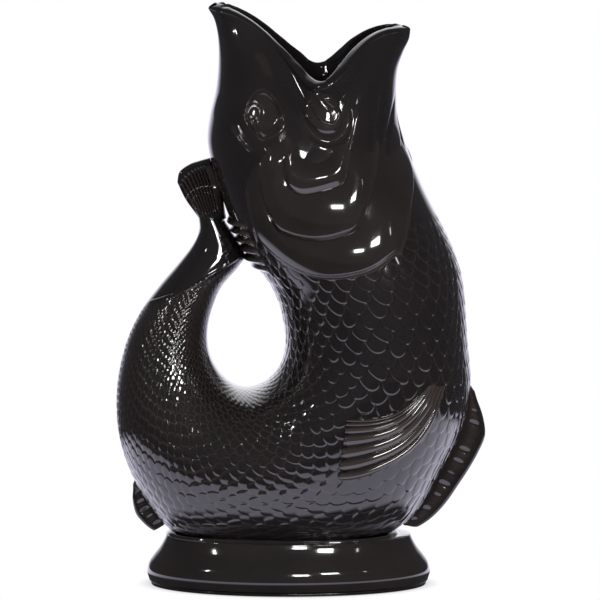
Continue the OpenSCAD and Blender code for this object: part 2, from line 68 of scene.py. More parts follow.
# Stations down the fish: back X and Z, belly X and Z, and half depth
OUTLINE_SHARES = [
    [-0.2481, 0.9878, 0.2994, 0.9512, 0.771],
    [-0.2312, 0.9673, 0.2948, 0.9347, 0.753],
    [-0.2221, 0.9347, 0.2792, 0.9122, 0.743],
    [-0.2214, 0.8939, 0.2649, 0.8837, 0.766],
    [-0.2286, 0.8490, 0.2610, 0.8449, 0.799],
    [-0.2442, 0.8061, 0.2656, 0.8020, 0.829],
    [-0.2513, 0.7633, 0.2838, 0.7612, 0.855],
    [-0.2390, 0.7204, 0.3078, 0.7204, 0.879],
    [-0.2182, 0.6796, 0.3351, 0.6796, 0.903],
    [-0.1942, 0.6347, 0.3675, 0.6388, 0.926],
    [-0.1591, 0.5918, 0.3981, 0.6020, 0.944],
    [-0.1175, 0.5469, 0.4247, 0.5633, 0.963],
    [-0.0831, 0.5167, 0.4435, 0.5204, 0.978],
    [-0.0571, 0.4796, 0.4519, 0.4673, 0.989],
    [-0.0429, 0.4347, 0.4571, 0.4102, 0.996],
    [-0.0448, 0.3971, 0.4649, 0.3469, 1.000],
    [-0.0636, 0.3673, 0.4468, 0.2755, 0.996],
    [-0.0922, 0.3486, 0.3857, 0.1959, 0.978],
    [-0.1208, 0.3396, 0.2916, 0.1082, 0.939],
    [-0.1494, 0.3367, 0.1130, 0.0592, 0.888],
    [-0.1766, 0.3412, -0.1338, 0.0571, 0.840],
    [-0.2026, 0.3527, -0.3286, 0.0837, 0.777],
    [-0.2247, 0.3690, -0.4357, 0.1612, 0.697],
    [-0.2416, 0.3898, -0.4890, 0.2449, 0.610],
    [-0.2506, 0.4163, -0.4994, 0.3265, 0.524],
    [-0.2487, 0.4469, -0.4792, 0.4020, 0.450],
    [-0.2351, 0.4796, -0.4377, 0.4633, 0.387],
    [-0.2117, 0.5122, -0.3818, 0.5122, 0.335],
    [-0.1640, 0.5480, -0.3286, 0.5518, 0.294],
    [-0.1500, 0.5680, -0.2909, 0.5829, 0.260],
    [-0.1800, 0.6010, -0.2740, 0.6090, 0.230],
    [-0.2078, 0.6286, -0.2760, 0.6318, 0.204],
]
# Squareness, widest place, sag and mouth share of the first stations. The others are plain ovals
HEAD_FORMS = [
    [2.20, 0.555, 0.1000, 1.00],
    [2.10, 0.555, 0.0980, 0.85],
    [2.10, 0.550, 0.0918, 0.55],
    [2.10, 0.540, 0.0796, 0.22],
    [2.15, 0.520, 0.0612, 0.05],
    [2.20, 0.510, 0.0408, 0.00],
    [2.20, 0.500, 0.0224, 0.00],
    [2.20, 0.500, 0.0082, 0.00],
]
PLAIN_FORM = [2.20, 0.500, 0.0, 0.0]
STATION_FORMS = HEAD_FORMS + [PLAIN_FORM] * (len(OUTLINE_SHARES) - len(HEAD_FORMS))
STATION_SHARES = np.hstack([OUTLINE_SHARES, STATION_FORMS])
LAST = len(STATION_SHARES) - 1
NECK = 9
TAIL = 23
TAIL_HOLLOW = 29

# The mouth from the upper jaw to the lower: its half width, and how far its edge dips
MOUTH_PLAN_SHARES = np.array([
    0, 0.2, 0.265, 0.31, 0.355, 0.405, 0.465, 0.545, 0.65, 0.78, 0.9, 0.98,
    1, 0.93, 0.77, 0.59, 0.455, 0.36, 0.285, 0.205, 0,
])[:, None]
DIP_SHARES = np.array([
    0, 0, 0.01, 0.05, 0.12, 0.21, 0.33, 0.49, 0.675, 0.86, 0.975, 1,
    0.93, 0.77, 0.56, 0.36, 0.21, 0.115, 0.05, 0.015, 0,
])[:, None]

# Weights of the four rows around a place, for each power of the way between the middle two
SPLINE = np.array([[0, 2, 0, 0], [-1, 0, 1, 0], [2, -5, 4, -1], [-1, 3, -3, 1]]) * 0.5


def row_at(table, place):
    """Rows of a table between its own rows, on a smooth curve. place may be an array of any shape."""
    table = np.asarray(table, float)
    padded = np.vstack([2 * table[0] - table[1], table, 2 * table[-1] - table[-2]])
    place = np.asarray(place, float)
    low = np.clip(np.floor(place), 0, len(table) - 2).astype(int)
    f = place - low
    powers = np.stack([np.ones_like(f), f, f * f, f * f * f], -1)
    weights = powers @ SPLINE
    return sum(weights[..., k, None] * padded[low + k] for k in range(4))


def share_row(table, share):
    return row_at(table, np.asarray(share, float) * (len(table) - 1))


def round_row(table, share):
    table = np.asarray(table, float)
    n = len(table)
    wrapped = np.vstack([table[-2:], table, table[:3]])
    return row_at(wrapped, np.mod(np.asarray(share, float), 1) * n + 2)


def smooth(low, high, x):
    t = np.clip((x - low) / (high - low), 0, 1)
    return t * t * (3 - 2 * t)


def skin_point(angle, place):
    """Points of the skin: angle round the body from the back, place along the stations. Millimetres."""
    angle, place = np.broadcast_arrays(np.asarray(angle, float), np.asarray(place, float))
    s = row_at(STATION_SHARES, place)
    u = (1 - np.cos(angle)) / 2
    widest = s[..., 6]
    away = np.where(u < widest, (widest - u) / widest, (u - widest) / (1 - widest))
    square = s[..., 5]
    oval = np.maximum(0, 1 - np.minimum(1, away) ** square) ** (1 / square)
    plan = np.maximum(0, share_row(MOUTH_PLAN_SHARES, u)[..., 0])
    mouth = np.maximum(0, s[..., 8])
    bulge = oval + (plan - oval) * mouth
    dip = s[..., 7] * share_row(DIP_SHARES, u)[..., 0]
    x = (s[..., 0] + (s[..., 2] - s[..., 0]) * u) * LENGTH
    z = (s[..., 1] + (s[..., 3] - s[..., 1]) * u - dip) * HEIGHT
    y = np.where(np.sin(angle) < 0, -1, 1) * s[..., 4] * DEPTH / 2 * bulge
    return np.stack([x, y, z], -1)


# Steps that measure the skin's slopes, round the body and down it
TURN_STEP = math.radians(1.44)
PLACE_STEP = 0.062
TINY = 1e-9


def length(v):
    return np.linalg.norm(v, axis=-1)


def unit(v):
    return v / np.maximum(TINY, length(v))[..., None]


def skin_frame(angle, place):
    """Points of the skin, outward normals and the way towards the mouth."""
    angle, place = np.broadcast_arrays(np.asarray(angle, float), np.asarray(place, float))
    point = skin_point(angle, place)
    across = skin_point(angle + TURN_STEP, place) - skin_point(angle - TURN_STEP, place)
    run = skin_point(angle, place + PLACE_STEP) - skin_point(angle, place - PLACE_STEP)
    return point, unit(np.cross(across, run)), -unit(run)


def off_skin(spot, out, side=1):
    """Points off the skin along its normal. spot holds half-turn shares and shares along the stations."""
    point, normal, _ = skin_frame(side * spot[..., 0] * math.pi, spot[..., 1] * LAST)
    return point + normal * np.asarray(out, float)[..., None]


def on_skin(spot, side=1):
    return off_skin(spot, 0, side)


def full_angles(n):
    return np.arange(n) * 2 * math.pi / n


def deep(angles, places, inward):
    """Points this far inside the skin, as places by angles."""
    point, normal, _ = skin_frame(angles[None, :], np.asarray(places, float)[:, None])
    return point - normal * inward


# Mesh building
def make_piece(name, node, verts, quads, tris=(), tint=None, sharp_rings=(), ring=0):
    """A mesh piece that stands for a CAD node, from points in millimetres. tint is how thin its glaze is."""
    mesh = bpy.data.meshes.new(name)
    quads = np.asarray(quads, np.int32).reshape(-1, 4)
    tris = np.asarray(tris, np.int32).reshape(-1, 3)
    verts = np.asarray(verts, float).reshape(-1, 3) * MM
    mesh.vertices.add(len(verts))
    mesh.vertices.foreach_set("co", verts.ravel())
    mesh.loops.add(quads.size + tris.size)
    mesh.loops.foreach_set("vertex_index", np.concatenate([quads.ravel(), tris.ravel()]))
    mesh.polygons.add(len(quads) + len(tris))
    starts = np.concatenate([np.arange(len(quads)) * 4, quads.size + np.arange(len(tris)) * 3])
    mesh.polygons.foreach_set("loop_start", starts.astype(np.int32))
    mesh.update(calc_edges=True)
    mesh.validate()
    mesh.polygons.foreach_set("use_smooth", np.ones(len(mesh.polygons), bool))
    if len(sharp_rings):
        pairs = np.empty(len(mesh.edges) * 2, np.int32)
        mesh.edges.foreach_get("vertices", pairs)
        pairs = pairs.reshape(-1, 2) // ring
        sharp = (pairs[:, 0] == pairs[:, 1]) & np.isin(pairs[:, 0], sharp_rings)
        mark = mesh.attributes.new("sharp_edge", "BOOLEAN", "EDGE")
        mark.data.foreach_set("value", sharp)
    if tint is not None:
        layer = mesh.attributes.new("thin", "FLOAT", "POINT")
        layer.data.foreach_set("value", np.broadcast_to(np.ravel(tint), len(verts)).astype(np.float32))
    work = bmesh.new()
    work.from_mesh(mesh)
    bmesh.ops.recalc_face_normals(work, faces=work.faces)
    work.to_mesh(mesh)
    work.free()
    piece = bpy.data.objects.new(name, mesh)
    bpy.context.scene.collection.objects.link(piece)
    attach(piece, "root")
    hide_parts(node)


def band_quads(rows, cols, wrap_rows=False):
    """Quads of a grid of points, rows by cols, that closes across its columns."""
    r = np.arange(rows if wrap_rows else rows - 1)
    r, c = np.meshgrid(r, np.arange(cols), indexing="ij")
    r2, c2 = (r + 1) % rows, (c + 1) % cols
    return np.stack([r * cols + c, r2 * cols + c, r2 * cols + c2, r * cols + c2], -1).reshape(-1, 4)


def strip_quads(first, n):
    """Quads that close a ring of an even number of points, folded along its middle."""
    i = np.arange(n // 2 - 1)
    return np.stack([first + i, first + i + 1, first + n - 2 - i, first + n - 1 - i], -1)


def tube(name, node, rings, tint, sharp_rings=()):
    """A piece from rings of points, the last of which joins the first."""
    count, n = rings.shape[:2]
    quads = band_quads(count, n, wrap_rows=True)
    make_piece(name, node, rings, quads, tint=tint, sharp_rings=sharp_rings, ring=n)


def capped(name, node, rings, ends, tint, sharp_rings=()):
    """A piece from rings of points, closed towards a point at either end."""
    count, n = rings.shape[:2]
    i = np.arange(n)
    j = (i + 1) % n
    first, last = count * n, (count - 1) * n
    tris = np.vstack([np.stack([np.full(n, first), i, j], -1),
                      np.stack([np.full(n, first + 1), last + j, last + i], -1)])
    verts = np.vstack([rings.reshape(-1, 3), ends])
    make_piece(name, node, verts, band_quads(count, n), tris, tint=tint, sharp_rings=sharp_rings, ring=n)


def shell(name, node, under, top, tint, under_tint=0):
    """A piece from an underside and a face, both as strips of points side by side, closed all round."""
    loops = np.concatenate([under, top[:, ::-1]], 1)
    count, n = loops.shape[:2]
    quads = np.vstack([band_quads(count, n), strip_quads(0, n), strip_quads((count - 1) * n, n)[:, ::-1]])
    tint = np.broadcast_to(tint, top.shape[:2])
    under_tint = np.broadcast_to(under_tint, tint.shape)
    make_piece(name, node, loops, quads, tint=np.concatenate([under_tint, tint[:, ::-1]], 1))


# How many widths a ridge reaches, in how many steps its line is cut, and how soft a ramp's corners are
STROKE_REACH = 3.0
STROKE_STEPS = 40
CORNER_SOFT = 0.015


def stroke(points, line, width, height, taper=0.25, closed=False):
    """Height of a ridge along a line of spots on the skin. An open line fades at both ends."""
    steps = np.linspace(0, 1, STROKE_STEPS)
    path = on_skin(round_row(line, steps) if closed else share_row(line, steps))
    flat = points.reshape(-1, 3).copy()
    flat[:, 1] = np.abs(flat[:, 1])
    reach = STROKE_REACH * width
    close = np.all((flat > path.min(0) - reach) & (flat < path.max(0) + reach), axis=1)
    near = flat[close]
    best = np.full(len(near), np.inf)
    where = np.zeros(len(near))
    for k in range(len(path) - 1):
        a, b = path[k], path[k + 1]
        ab = b - a
        t = np.clip(((near - a) @ ab) / max(TINY, ab @ ab), 0, 1)
        d = length(near - a - t[:, None] * ab)
        closer = d < best
        best = np.where(closer, d, best)
        where = np.where(closer, (k + t) / (len(path) - 1), where)
    fade = 1 if closed else smooth(0, taper, where) * smooth(0, taper, 1 - where)
    lift = np.zeros(len(flat))
    lift[close] = height * np.exp(-(best / width) ** 2) * fade
    return lift.reshape(points.shape[:-1])


def strokes(points, lines):
    return sum(stroke(points, *line) for line in lines)


def from_ends(a):
    return np.minimum(a, 1 - a)


def ramp(t):
    """A straight rise from 0 to 1 with softly rounded corners."""
    return 0.5 + 0.5 * (np.sqrt(t * t + CORNER_SOFT) - np.sqrt((t - 1) ** 2 + CORNER_SOFT))


# Scales: columns round half the body, rows for each width, rise and bevel as shares of a width
COLUMNS = 22
ROW_PER_WIDTH = 0.58
SCALE_RISE = 0.068
BEVEL_SHARE = 0.06
# Least bevel, and how far the scales stay below the skin, in millimetres
LEAST_BEVEL = 0.45
SKIN_CLEAR = 0.03
# Height of a free edge, how far chance lowers a scale, and how far its sides fall
SCALE_TOP = 1.1
UNEVEN = 0.30
SIDE_FALL = 0.12
# How far a scale slopes down under the others, and where its crown is highest
SLOPE_RUN = 2.2
CROWN_MIDDLE = 0.6
# How domed the scales are on the torso, how much more on the tail, and where that changes
CROWN_TORSO = 0.14
CROWN_MORE = 0.62
CROWN_CHANGE = (0.46, 0.62)
# A slow wander, so that no two scales are alike: how far it goes, and its rates across and along
ROW_SWAY = 0.10
ROW_SWAY_RATES = (1.9, 0.8)
ROW_SWAY_TWIST = 0.7
ROW_RIPPLE = 0.06
ROW_RIPPLE_RATES = (4.3, 1.3)
COLUMN_SWAY = 0.07
COLUMN_SWAY_RATES = (0.9, 2.1)
# Any large uneven numbers here spread the chance well
CHANCE_RATES = (12.9898, 78.233)
CHANCE_SPREAD = 437.585
# Thin glaze inside a scale's edge: how far in and how wide, in millimetres, and how thin at most
THIN_INSET = 0.5
THIN_WIDTH = 0.38
THIN_MOST = 0.60
# Width of a scale: rows are places down the body, columns go from the back to the keel
SCALE_WIDTHS = np.array([
    [5.0, 6.5, 9.0, 8.0, 5.0],
    [5.5, 7.0, 9.5, 8.0, 4.5],
    [5.5, 5.8, 6.2, 5.4, 4.6],
    [4.2, 4.3, 4.4, 4.0, 3.4],
    [3.2, 3.3, 3.4, 3.2, 3.0],
])
SCALE_PLACES = [9, 14, 18.5, 23, 31]
MAP_GRID = (240, 241)


def mirrored(half_values):
    """Values on a half turn, back to keel, copied to the other flank to make a full ring."""
    return np.concatenate([half_values, half_values[..., -2:0:-1]], -1)


def skin_rates(places, shares):
    """Millimetres of skin to a half turn across it and to a station along it, for each place and share."""
    grid = skin_point(shares[None, :] * math.pi, places[:, None])
    return length(np.gradient(grid, shares, axis=1)), length(np.gradient(grid, places, axis=0))


def scale_maps():
    """Column and row numbers of the scales at each angle and place, on a coarse grid."""
    places = np.linspace(NECK - 1, LAST, MAP_GRID[0])
    shares = np.linspace(0, 1, MAP_GRID[1])
    across, along = skin_rates(places, shares)
    rows = np.stack([np.interp(places, SCALE_PLACES, w) for w in SCALE_WIDTHS.T], 1)
    widths = np.stack([np.interp(shares, np.linspace(0, 1, rows.shape[1]), r) for r in rows])
    weight = across / widths
    steps = (weight[:, 1:] + weight[:, :-1]) / 2
    columns = np.concatenate([np.zeros((len(places), 1)), np.cumsum(steps, 1)], 1)
    columns = columns / columns[:, -1:] * COLUMNS
    middle = len(shares) // 2
    width = across[:, middle] / np.gradient(columns, shares, axis=1)[:, middle]
    rate = along[:, middle] / (ROW_PER_WIDTH * width)
    rows = np.concatenate([[0], np.cumsum((rate[1:] + rate[:-1]) / 2 * np.diff(places))])
    return places, shares, columns, rows


MAP_PLACES, MAP_SHARES, MAP_COLUMNS, MAP_ROWS = scale_maps()


def scale_numbers(places, shares):
    """Column and row number and size of the scale at each place and half-turn share."""
    row_number = np.interp(places, MAP_PLACES, MAP_ROWS)
    index = np.interp(places, MAP_PLACES, np.arange(len(MAP_PLACES)))
    low = np.clip(index.astype(int), 0, len(MAP_PLACES) - 2)
    f = (index - low)[:, None]
    table = MAP_COLUMNS[low] * (1 - f) + MAP_COLUMNS[low + 1] * f
    columns = np.stack([np.interp(shares, MAP_SHARES, t) for t in table])
    across, along = skin_rates(places, shares)
    along = along / np.gradient(row_number, places)[:, None]
    size = np.minimum(across / np.gradient(columns, shares, axis=1), along / ROW_PER_WIDTH)
    rows = np.broadcast_to(row_number[:, None], columns.shape)
    twist = ROW_SWAY_TWIST * np.sin(rows * ROW_SWAY_RATES[1])
    rows = (rows + ROW_SWAY * np.sin(columns * ROW_SWAY_RATES[0] + twist)
            + ROW_RIPPLE * np.sin(columns * ROW_RIPPLE_RATES[0] + rows * ROW_RIPPLE_RATES[1]))
    sway = COLUMN_SWAY * np.sin(rows * COLUMN_SWAY_RATES[1] + columns * COLUMN_SWAY_RATES[0])
    columns = columns + sway * np.minimum(1, np.minimum(columns, COLUMNS - columns))
    return columns, rows, size


def scale_relief(places, shares):
    """How far the scales lie below the skin, and where the glaze is thin over their free edges."""
    columns, rows, size = scale_numbers(places, shares)
    base = np.floor(rows)
    crown = CROWN_TORSO + CROWN_MORE * smooth(*CROWN_CHANGE, places / LAST)[:, None]
    bevel = np.maximum(BEVEL_SHARE, LEAST_BEVEL / size)
    height = np.zeros_like(columns)
    thin = np.zeros_like(columns)
    # The scale furthest down lies lowest, and each one above laps over it
    for k in (2, 1, 0):
        row = base + k
        shift = np.mod(row, 2) / 2
        number = np.round(columns - shift)
        aside = 2 * (columns - shift - number)
        beyond = np.maximum(0, rows - row)
        edge = (1 - np.sqrt(aside ** 2 + beyond ** 2)) / 2
        depth = row + np.sqrt(np.maximum(0, 1 - aside ** 2)) - rows
        own = 1 - np.clip(depth, 0, SLOPE_RUN) / 2
        own = own + crown * (1 - aside ** 2 - 0.5 * np.clip(depth - CROWN_MIDDLE, -1, 1) ** 2)
        chance = np.mod(np.sin(row * CHANCE_RATES[0] + number * CHANCE_RATES[1]) * CHANCE_SPREAD, 1)
        own = own - UNEVEN * chance - SIDE_FALL * aside ** 2
        grow = ramp(edge / bevel)
        height = own if k == 2 else height + (own - height) * grow
        line = np.exp(-((edge * size - THIN_INSET) / THIN_WIDTH) ** 2)
        thin = thin + (line - thin) * grow
    return (height - SCALE_TOP - crown) * size * SCALE_RISE - SKIN_CLEAR, thin


# Where the scales start along the stations, and where they stop on the tail, from the back to the keel
SCALE_START = (0.275, 0.295)
SCALE_STOP_SHARES = [0.945, 0.935, 0.905, 0.882, 0.868, 0.858, 0.850]
SCALE_STOP_FADE = (-0.012, 0.003)
# The strip along the back inside the tail's loop that stays bare
BARE_FROM = (0.66, 0.72)
BARE_WIDTH = (0.05, 0.12)


def scale_mask(places, shares):
    s = places[:, None] / LAST
    a = shares[None, :]
    edge = np.interp(a, np.linspace(0, 1, len(SCALE_STOP_SHARES)), SCALE_STOP_SHARES)
    stop = 1 - smooth(*SCALE_STOP_FADE, s - edge)
    inner = 1 - smooth(*BARE_FROM, s) * (1 - smooth(*BARE_WIDTH, a))
    return smooth(*SCALE_START, s) * stop * inner


# Folds of the head: line on the flank, width and height
LOBE_RIDGE = [
    [0.463, 0.066], [0.475, 0.094], [0.495, 0.108], [0.522, 0.121], [0.550, 0.135], [0.578, 0.147],
    [0.603, 0.153], [0.625, 0.153], [0.645, 0.147], [0.653, 0.135], [0.645, 0.114], [0.615, 0.076],
]
LOBE_RIGHT = [[0.605, 0.070], [0.618, 0.084], [0.645, 0.113], [0.652, 0.132], [0.645, 0.148], [0.620, 0.155]]
HEAD_FOLDS = [
    ([[0.223, 0.160], [0.245, 0.171], [0.285, 0.184], [0.330, 0.195]], 0.9, 0.9),
    ([[0.242, 0.156], [0.263, 0.168], [0.295, 0.179], [0.320, 0.189]], 0.5, 0.35),
    ([[0.362, 0.178], [0.380, 0.194], [0.385, 0.203], [0.378, 0.216]], 1.1, 0.9),
    ([[0.290, 0.058], [0.322, 0.071], [0.350, 0.086]], 1.3, 0.75),
    ([[0.318, 0.050], [0.345, 0.066], [0.372, 0.084]], 1.2, 0.65),
    (LOBE_RIDGE, 1.7, 0.9),
    (LOBE_RIGHT, 0.5, 0.4),
    ([[0.460, 0.072], [0.468, 0.082], [0.485, 0.095], [0.508, 0.110], [0.527, 0.127]], 0.5, 0.4),
    ([[0.442, 0.080], [0.455, 0.096], [0.467, 0.108], [0.482, 0.116], [0.492, 0.122]], 0.5, 0.35),
    ([[0.500, 0.178], [0.550, 0.195], [0.605, 0.203], [0.655, 0.200]], 5.0, 0.9),
    ([[0.696, 0.120], [0.688, 0.142], [0.675, 0.161], [0.652, 0.181], [0.633, 0.192]], 1.1, 0.8),
    ([[0.429, 0.110], [0.440, 0.165], [0.422, 0.206], [0.399, 0.240]], 3.0, -0.5),
    ([[0.690, 0.254], [0.743, 0.205], [0.790, 0.168], [0.822, 0.131], [0.835, 0.080]], 3.0, -0.8),
    ([[0.975, 0.120], [0.881, 0.159], [0.815, 0.183], [0.761, 0.210], [0.711, 0.250]], 1.6, -0.8),
    ([[0.995, 0.140], [0.975, 0.174], [0.925, 0.199], [0.828, 0.232]], 1.6, -0.8),
]
# Stations over which the folds fade in below the lip and out above the body
FOLD_FADES = (0.8, 0.5)
# How thin the head's glaze is, and how much thinner for each millimetre of a fold
HEAD_THIN = 0.18
FOLD_THIN = 0.25

# The lip from the outer face to the inner one: share of the wall, and rise
LIP_PROFILE = [
    [0, 0], [0.02, 0.40], [0.06, 0.75], [0.13, 1.12], [0.25, 1.45], [0.44, 1.75], [0.61, 1.93], [0.75, 2.00],
    [0.87, 1.78], [0.95, 1.20], [0.99, 0.45],
]
LIP_RISE = 2.0
# How much more or less the lip rises, from the upper jaw to the lower
LIP_MORE = np.array([
    -0.8, 0.3, 1.6, 2.1, 2.4, 2.2, 1.6, 0.1, -1.6, -1.5, -0.5,
    0.3, 0, -0.6, -0.5, 0.4, 1.3, 1.9, 1.7, 0.9, -0.3,
])[:, None]

# Fineness of the castings: points round, rings outside and rings inside
HEAD_GRID = (600, 300, 70)
BODY_GRID = (1000, 680, 90)
TAIL_GRID = (720, 420, 60)
LIP_RINGS = 22


def build_head():
    n, rows, inner_rows = HEAD_GRID
    angles = full_angles(n)
    places = np.linspace(0, NECK, rows)
    point, normal, _ = skin_frame(angles[None, :], places[:, None])
    fade_in = smooth(0, FOLD_FADES[0], places)[:, None]
    fade_out = smooth(0, FOLD_FADES[1], NECK - places)[:, None]
    lift = strokes(point, HEAD_FOLDS) * fade_in * fade_out
    outer = point + normal * lift[..., None]
    inner = deep(angles, np.linspace(NECK, 0, inner_rows), WALL)
    rim, rim_normal, rim_up = skin_frame(angles, np.zeros(n))
    profile = share_row(LIP_PROFILE, np.linspace(1, 0, LIP_RINGS))
    more = 1 + share_row(LIP_MORE, (1 - np.cos(angles)) / 2) / LIP_RISE
    lips = [rim - rim_normal * WALL * across + rim_up * rise * more for across, rise in profile]
    rings = np.concatenate([outer, inner, np.array(lips)])
    tint = np.zeros(rings.shape[:2])
    tint[:rows] = np.clip(HEAD_THIN + lift * FOLD_THIN, 0, 1)
    tube("head", "head_casting", rings, tint, sharp_rings=[rows - 1, rows])


# Folds of the body and the tail: line on the flank, width and height
TAIL_STEP = [[0.100, 0.948], [0.268, 0.925], [0.395, 0.897], [0.522, 0.876], [0.750, 0.860], [0.990, 0.852]]
BODY_FOLDS = [
    (TAIL_STEP, 0.7, 0.5),
    ([[0.343, 0.975], [0.305, 0.953], [0.383, 0.937], [0.450, 0.920]], 0.9, 0.6),
]


def scaled_skin(n, places):
    """Outer points of a casting with scales, as places by n angles, and a map of thin glaze."""
    shares = np.linspace(0, 1, n // 2 + 1)
    relief, thin = scale_relief(places, shares)
    mask = scale_mask(places, shares)
    point, normal, _ = skin_frame(full_angles(n)[None, :], places[:, None])
    lift = mirrored(relief * mask) + strokes(point, BODY_FOLDS)
    return point + normal * lift[..., None], mirrored(thin * mask) * THIN_MOST


def build_body():
    n, rows, inner_rows = BODY_GRID
    outer, thin = scaled_skin(n, np.linspace(NECK, TAIL, rows))
    inner = deep(full_angles(n), np.linspace(TAIL, NECK, inner_rows), WALL)
    rings = np.concatenate([outer, inner])
    tint = np.concatenate([thin, np.zeros((inner_rows, n))])
    tube("body", "body_casting", rings, tint, sharp_rings=[0, rows - 1, rows, len(rings) - 1])


def build_tail():
    n, rows, inner_rows = TAIL_GRID
    outer, thin = scaled_skin(n, np.linspace(TAIL, LAST, rows))
    inner = deep(full_angles(n), np.linspace(TAIL_HOLLOW, TAIL, inner_rows), WALL)
    rings = np.concatenate([outer[::-1], inner[::-1]])
    ends = np.stack([rings[0].mean(0), rings[-1].mean(0)])
    tint = np.append(thin[::-1], np.zeros(inner_rows * n + len(ends)))
    capped("tail", "tail_casting", rings, ends, tint, sharp_rings=[rows - 1, rows])


# Foot: shares of its width and height, up its side and down its inside
FOOT_SIDE_SHARES = [
    [0.984, 0.08], [1, 0.24], [0.985, 0.41], [0.95, 0.55], [0.906, 0.70], [0.876, 0.84], [0.862, 0.93],
]
FOOT_INSIDE_SHARES = [[0.86, 0.56], [0.885, 0.3], [0.905, 0.08]]
# Bead along the collar's top: how far out from the seat, and share of the height
FOOT_BEAD = [
    [1.9, 0.945], [1.5, 0.94], [1.35, 0.955], [1.2, 0.975], [0.9, 0.992], [0.5, 1], [0.15, 0.994], [0, 0.98],
]
FOOT_CENTRE = -0.0312 * LENGTH
FOOT_SEAT_SHARE = 0.79
# Points round, rings up the side and rings inside
FOOT_GRID = (320, 60, 12)
FOOT_THIN = 0.3
# Stations between which the keel comes down to the foot and rises again
KEEL_BELLY = (16.0, 19.0)
KEEL_TAIL = (20.0, 23.0)
KEEL_STEPS = 4000
OUTLINE_STEPS = 3000
SEAT_GAP = HEIGHT / 1225
# Standing ring: share of the foot's width, and share of its own height
RING_PROFILE = [[0.968, 0.0], [0.972, 0.30], [0.971, 1.0], [0.905, 1.0], [0.903, 0.35], [0.907, 0.0]]
RING_POINTS = 160


def keel_place(height_share, span):
    """The place between two stations where the keel is this high."""
    places = np.linspace(*span, KEEL_STEPS)
    heights = row_at(STATION_SHARES, places)[:, 3]
    order = np.argsort(heights)
    return np.interp(height_share, heights[order], places[order])


def keel_x(z, span):
    return row_at(STATION_SHARES, keel_place(z / HEIGHT, span))[2] * LENGTH


def body_outline(z, n):
    """Outline of the body at one height, seen from above."""
    front, rear = keel_x(z, KEEL_BELLY), keel_x(z, KEEL_TAIL)
    angles = full_angles(n)
    x = (front + rear) / 2 + (front - rear) / 2 * np.cos(angles)
    s = row_at(STATION_SHARES, np.linspace(KEEL_BELLY[0], KEEL_TAIL[1], OUTLINE_STEPS))
    bx, bz = s[:, 0] * LENGTH, s[:, 1] * HEIGHT
    kx, kz = s[:, 2] * LENGTH, s[:, 3] * HEIGHT
    ring = []
    for k in range(n):
        miss = (kx - bx) * (z - bz) - (kz - bz) * (x[k] - bx)
        cross = np.nonzero(np.sign(miss[1:]) != np.sign(miss[:-1]))[0]
        i = cross[0] if len(cross) else int(np.abs(miss).argmin())
        u = min(1, math.hypot(x[k] - bx[i], z - bz[i]) / math.hypot(kx[i] - bx[i], kz[i] - bz[i]))
        away = abs(u - s[i, 6]) / (s[i, 6] if u < s[i, 6] else 1 - s[i, 6])
        y = s[i, 4] * DEPTH / 2 * max(0, 1 - min(1, away) ** s[i, 5]) ** (1 / s[i, 5])
        ring.append([x[k], -y if math.sin(angles[k]) < 0 else y, z])
    return np.array(ring)


def grown(ring, out):
    away = ring - np.array([FOOT_CENTRE, 0, 0])
    away[:, 2] = 0
    return ring + unit(away) * out


def foot_ring_at(share, z, n):
    angles = full_angles(n)
    return np.stack([FOOT_CENTRE + share * FOOT_LENGTH / 2 * np.cos(angles),
                     share * FOOT_DEPTH / 2 * np.sin(angles), np.full(n, z)], -1)


def foot_rings(table, count, n):
    """Level rings of the foot along a table of width and height shares."""
    return [foot_ring_at(width, max(RING_HEIGHT, height * FOOT_HEIGHT), n)
            for width, height in share_row(table, np.linspace(0, 1, count))]


def build_foot():
    n, side_rings, inside_rings = FOOT_GRID
    top = grown(body_outline(FOOT_HEIGHT, n), 2 * SEAT_GAP)
    low = grown(body_outline(FOOT_HEIGHT * FOOT_SEAT_SHARE, n), 2 * SEAT_GAP)
    bead = [grown(top, out) * [1, 1, 0] + [0, 0, z * FOOT_HEIGHT] for out, z in FOOT_BEAD]
    rings = foot_rings(FOOT_SIDE_SHARES, side_rings, n) + bead + [low]
    rings = np.array(rings + foot_rings(FOOT_INSIDE_SHARES, inside_rings, n))
    tube("foot_base", "foot", rings, FOOT_THIN)


def build_foot_ring():
    rings = np.array([foot_ring_at(share, z * RING_HEIGHT, RING_POINTS) for share, z in RING_PROFILE])
    tube("standing_ring", "foot_ring", rings, None)


# Plates on the flank
GILL_EDGE_SHARES = [
    [0.239, 0.230], [0.224, 0.266], [0.232, 0.294], [0.244, 0.322], [0.307, 0.344], [0.377, 0.355],
    [0.455, 0.356], [0.542, 0.350], [0.618, 0.337], [0.691, 0.319], [0.798, 0.272], [0.880, 0.240],
    [0.950, 0.206], [0.965, 0.176],
]
CHEEK_EDGE_SHARES = [
    [0.343, 0.183], [0.339, 0.214], [0.314, 0.249], [0.314, 0.280], [0.336, 0.299], [0.422, 0.309],
    [0.512, 0.304], [0.592, 0.288], [0.703, 0.231], [0.789, 0.181],
]
INNER_EDGE_SHARES = [
    [0.437, 0.138], [0.434, 0.186], [0.416, 0.224], [0.419, 0.240], [0.454, 0.248], [0.527, 0.241],
    [0.595, 0.229], [0.644, 0.194], [0.669, 0.167],
]
INNER_ROOT_SHARES = [
    [0.490, 0.145], [0.500, 0.155], [0.515, 0.160], [0.545, 0.162], [0.580, 0.160], [0.605, 0.152],
]
# Bevels of each plate, from its edge inwards: where it starts, its width and its rise
GILL_STEPS = [[0, 0.5, 0.9], [2.0, 2.0, 1.7]]
CHEEK_STEPS = [[0, 2.1, 1.8]]
INNER_STEPS = [[0, 2.0, 1.7]]
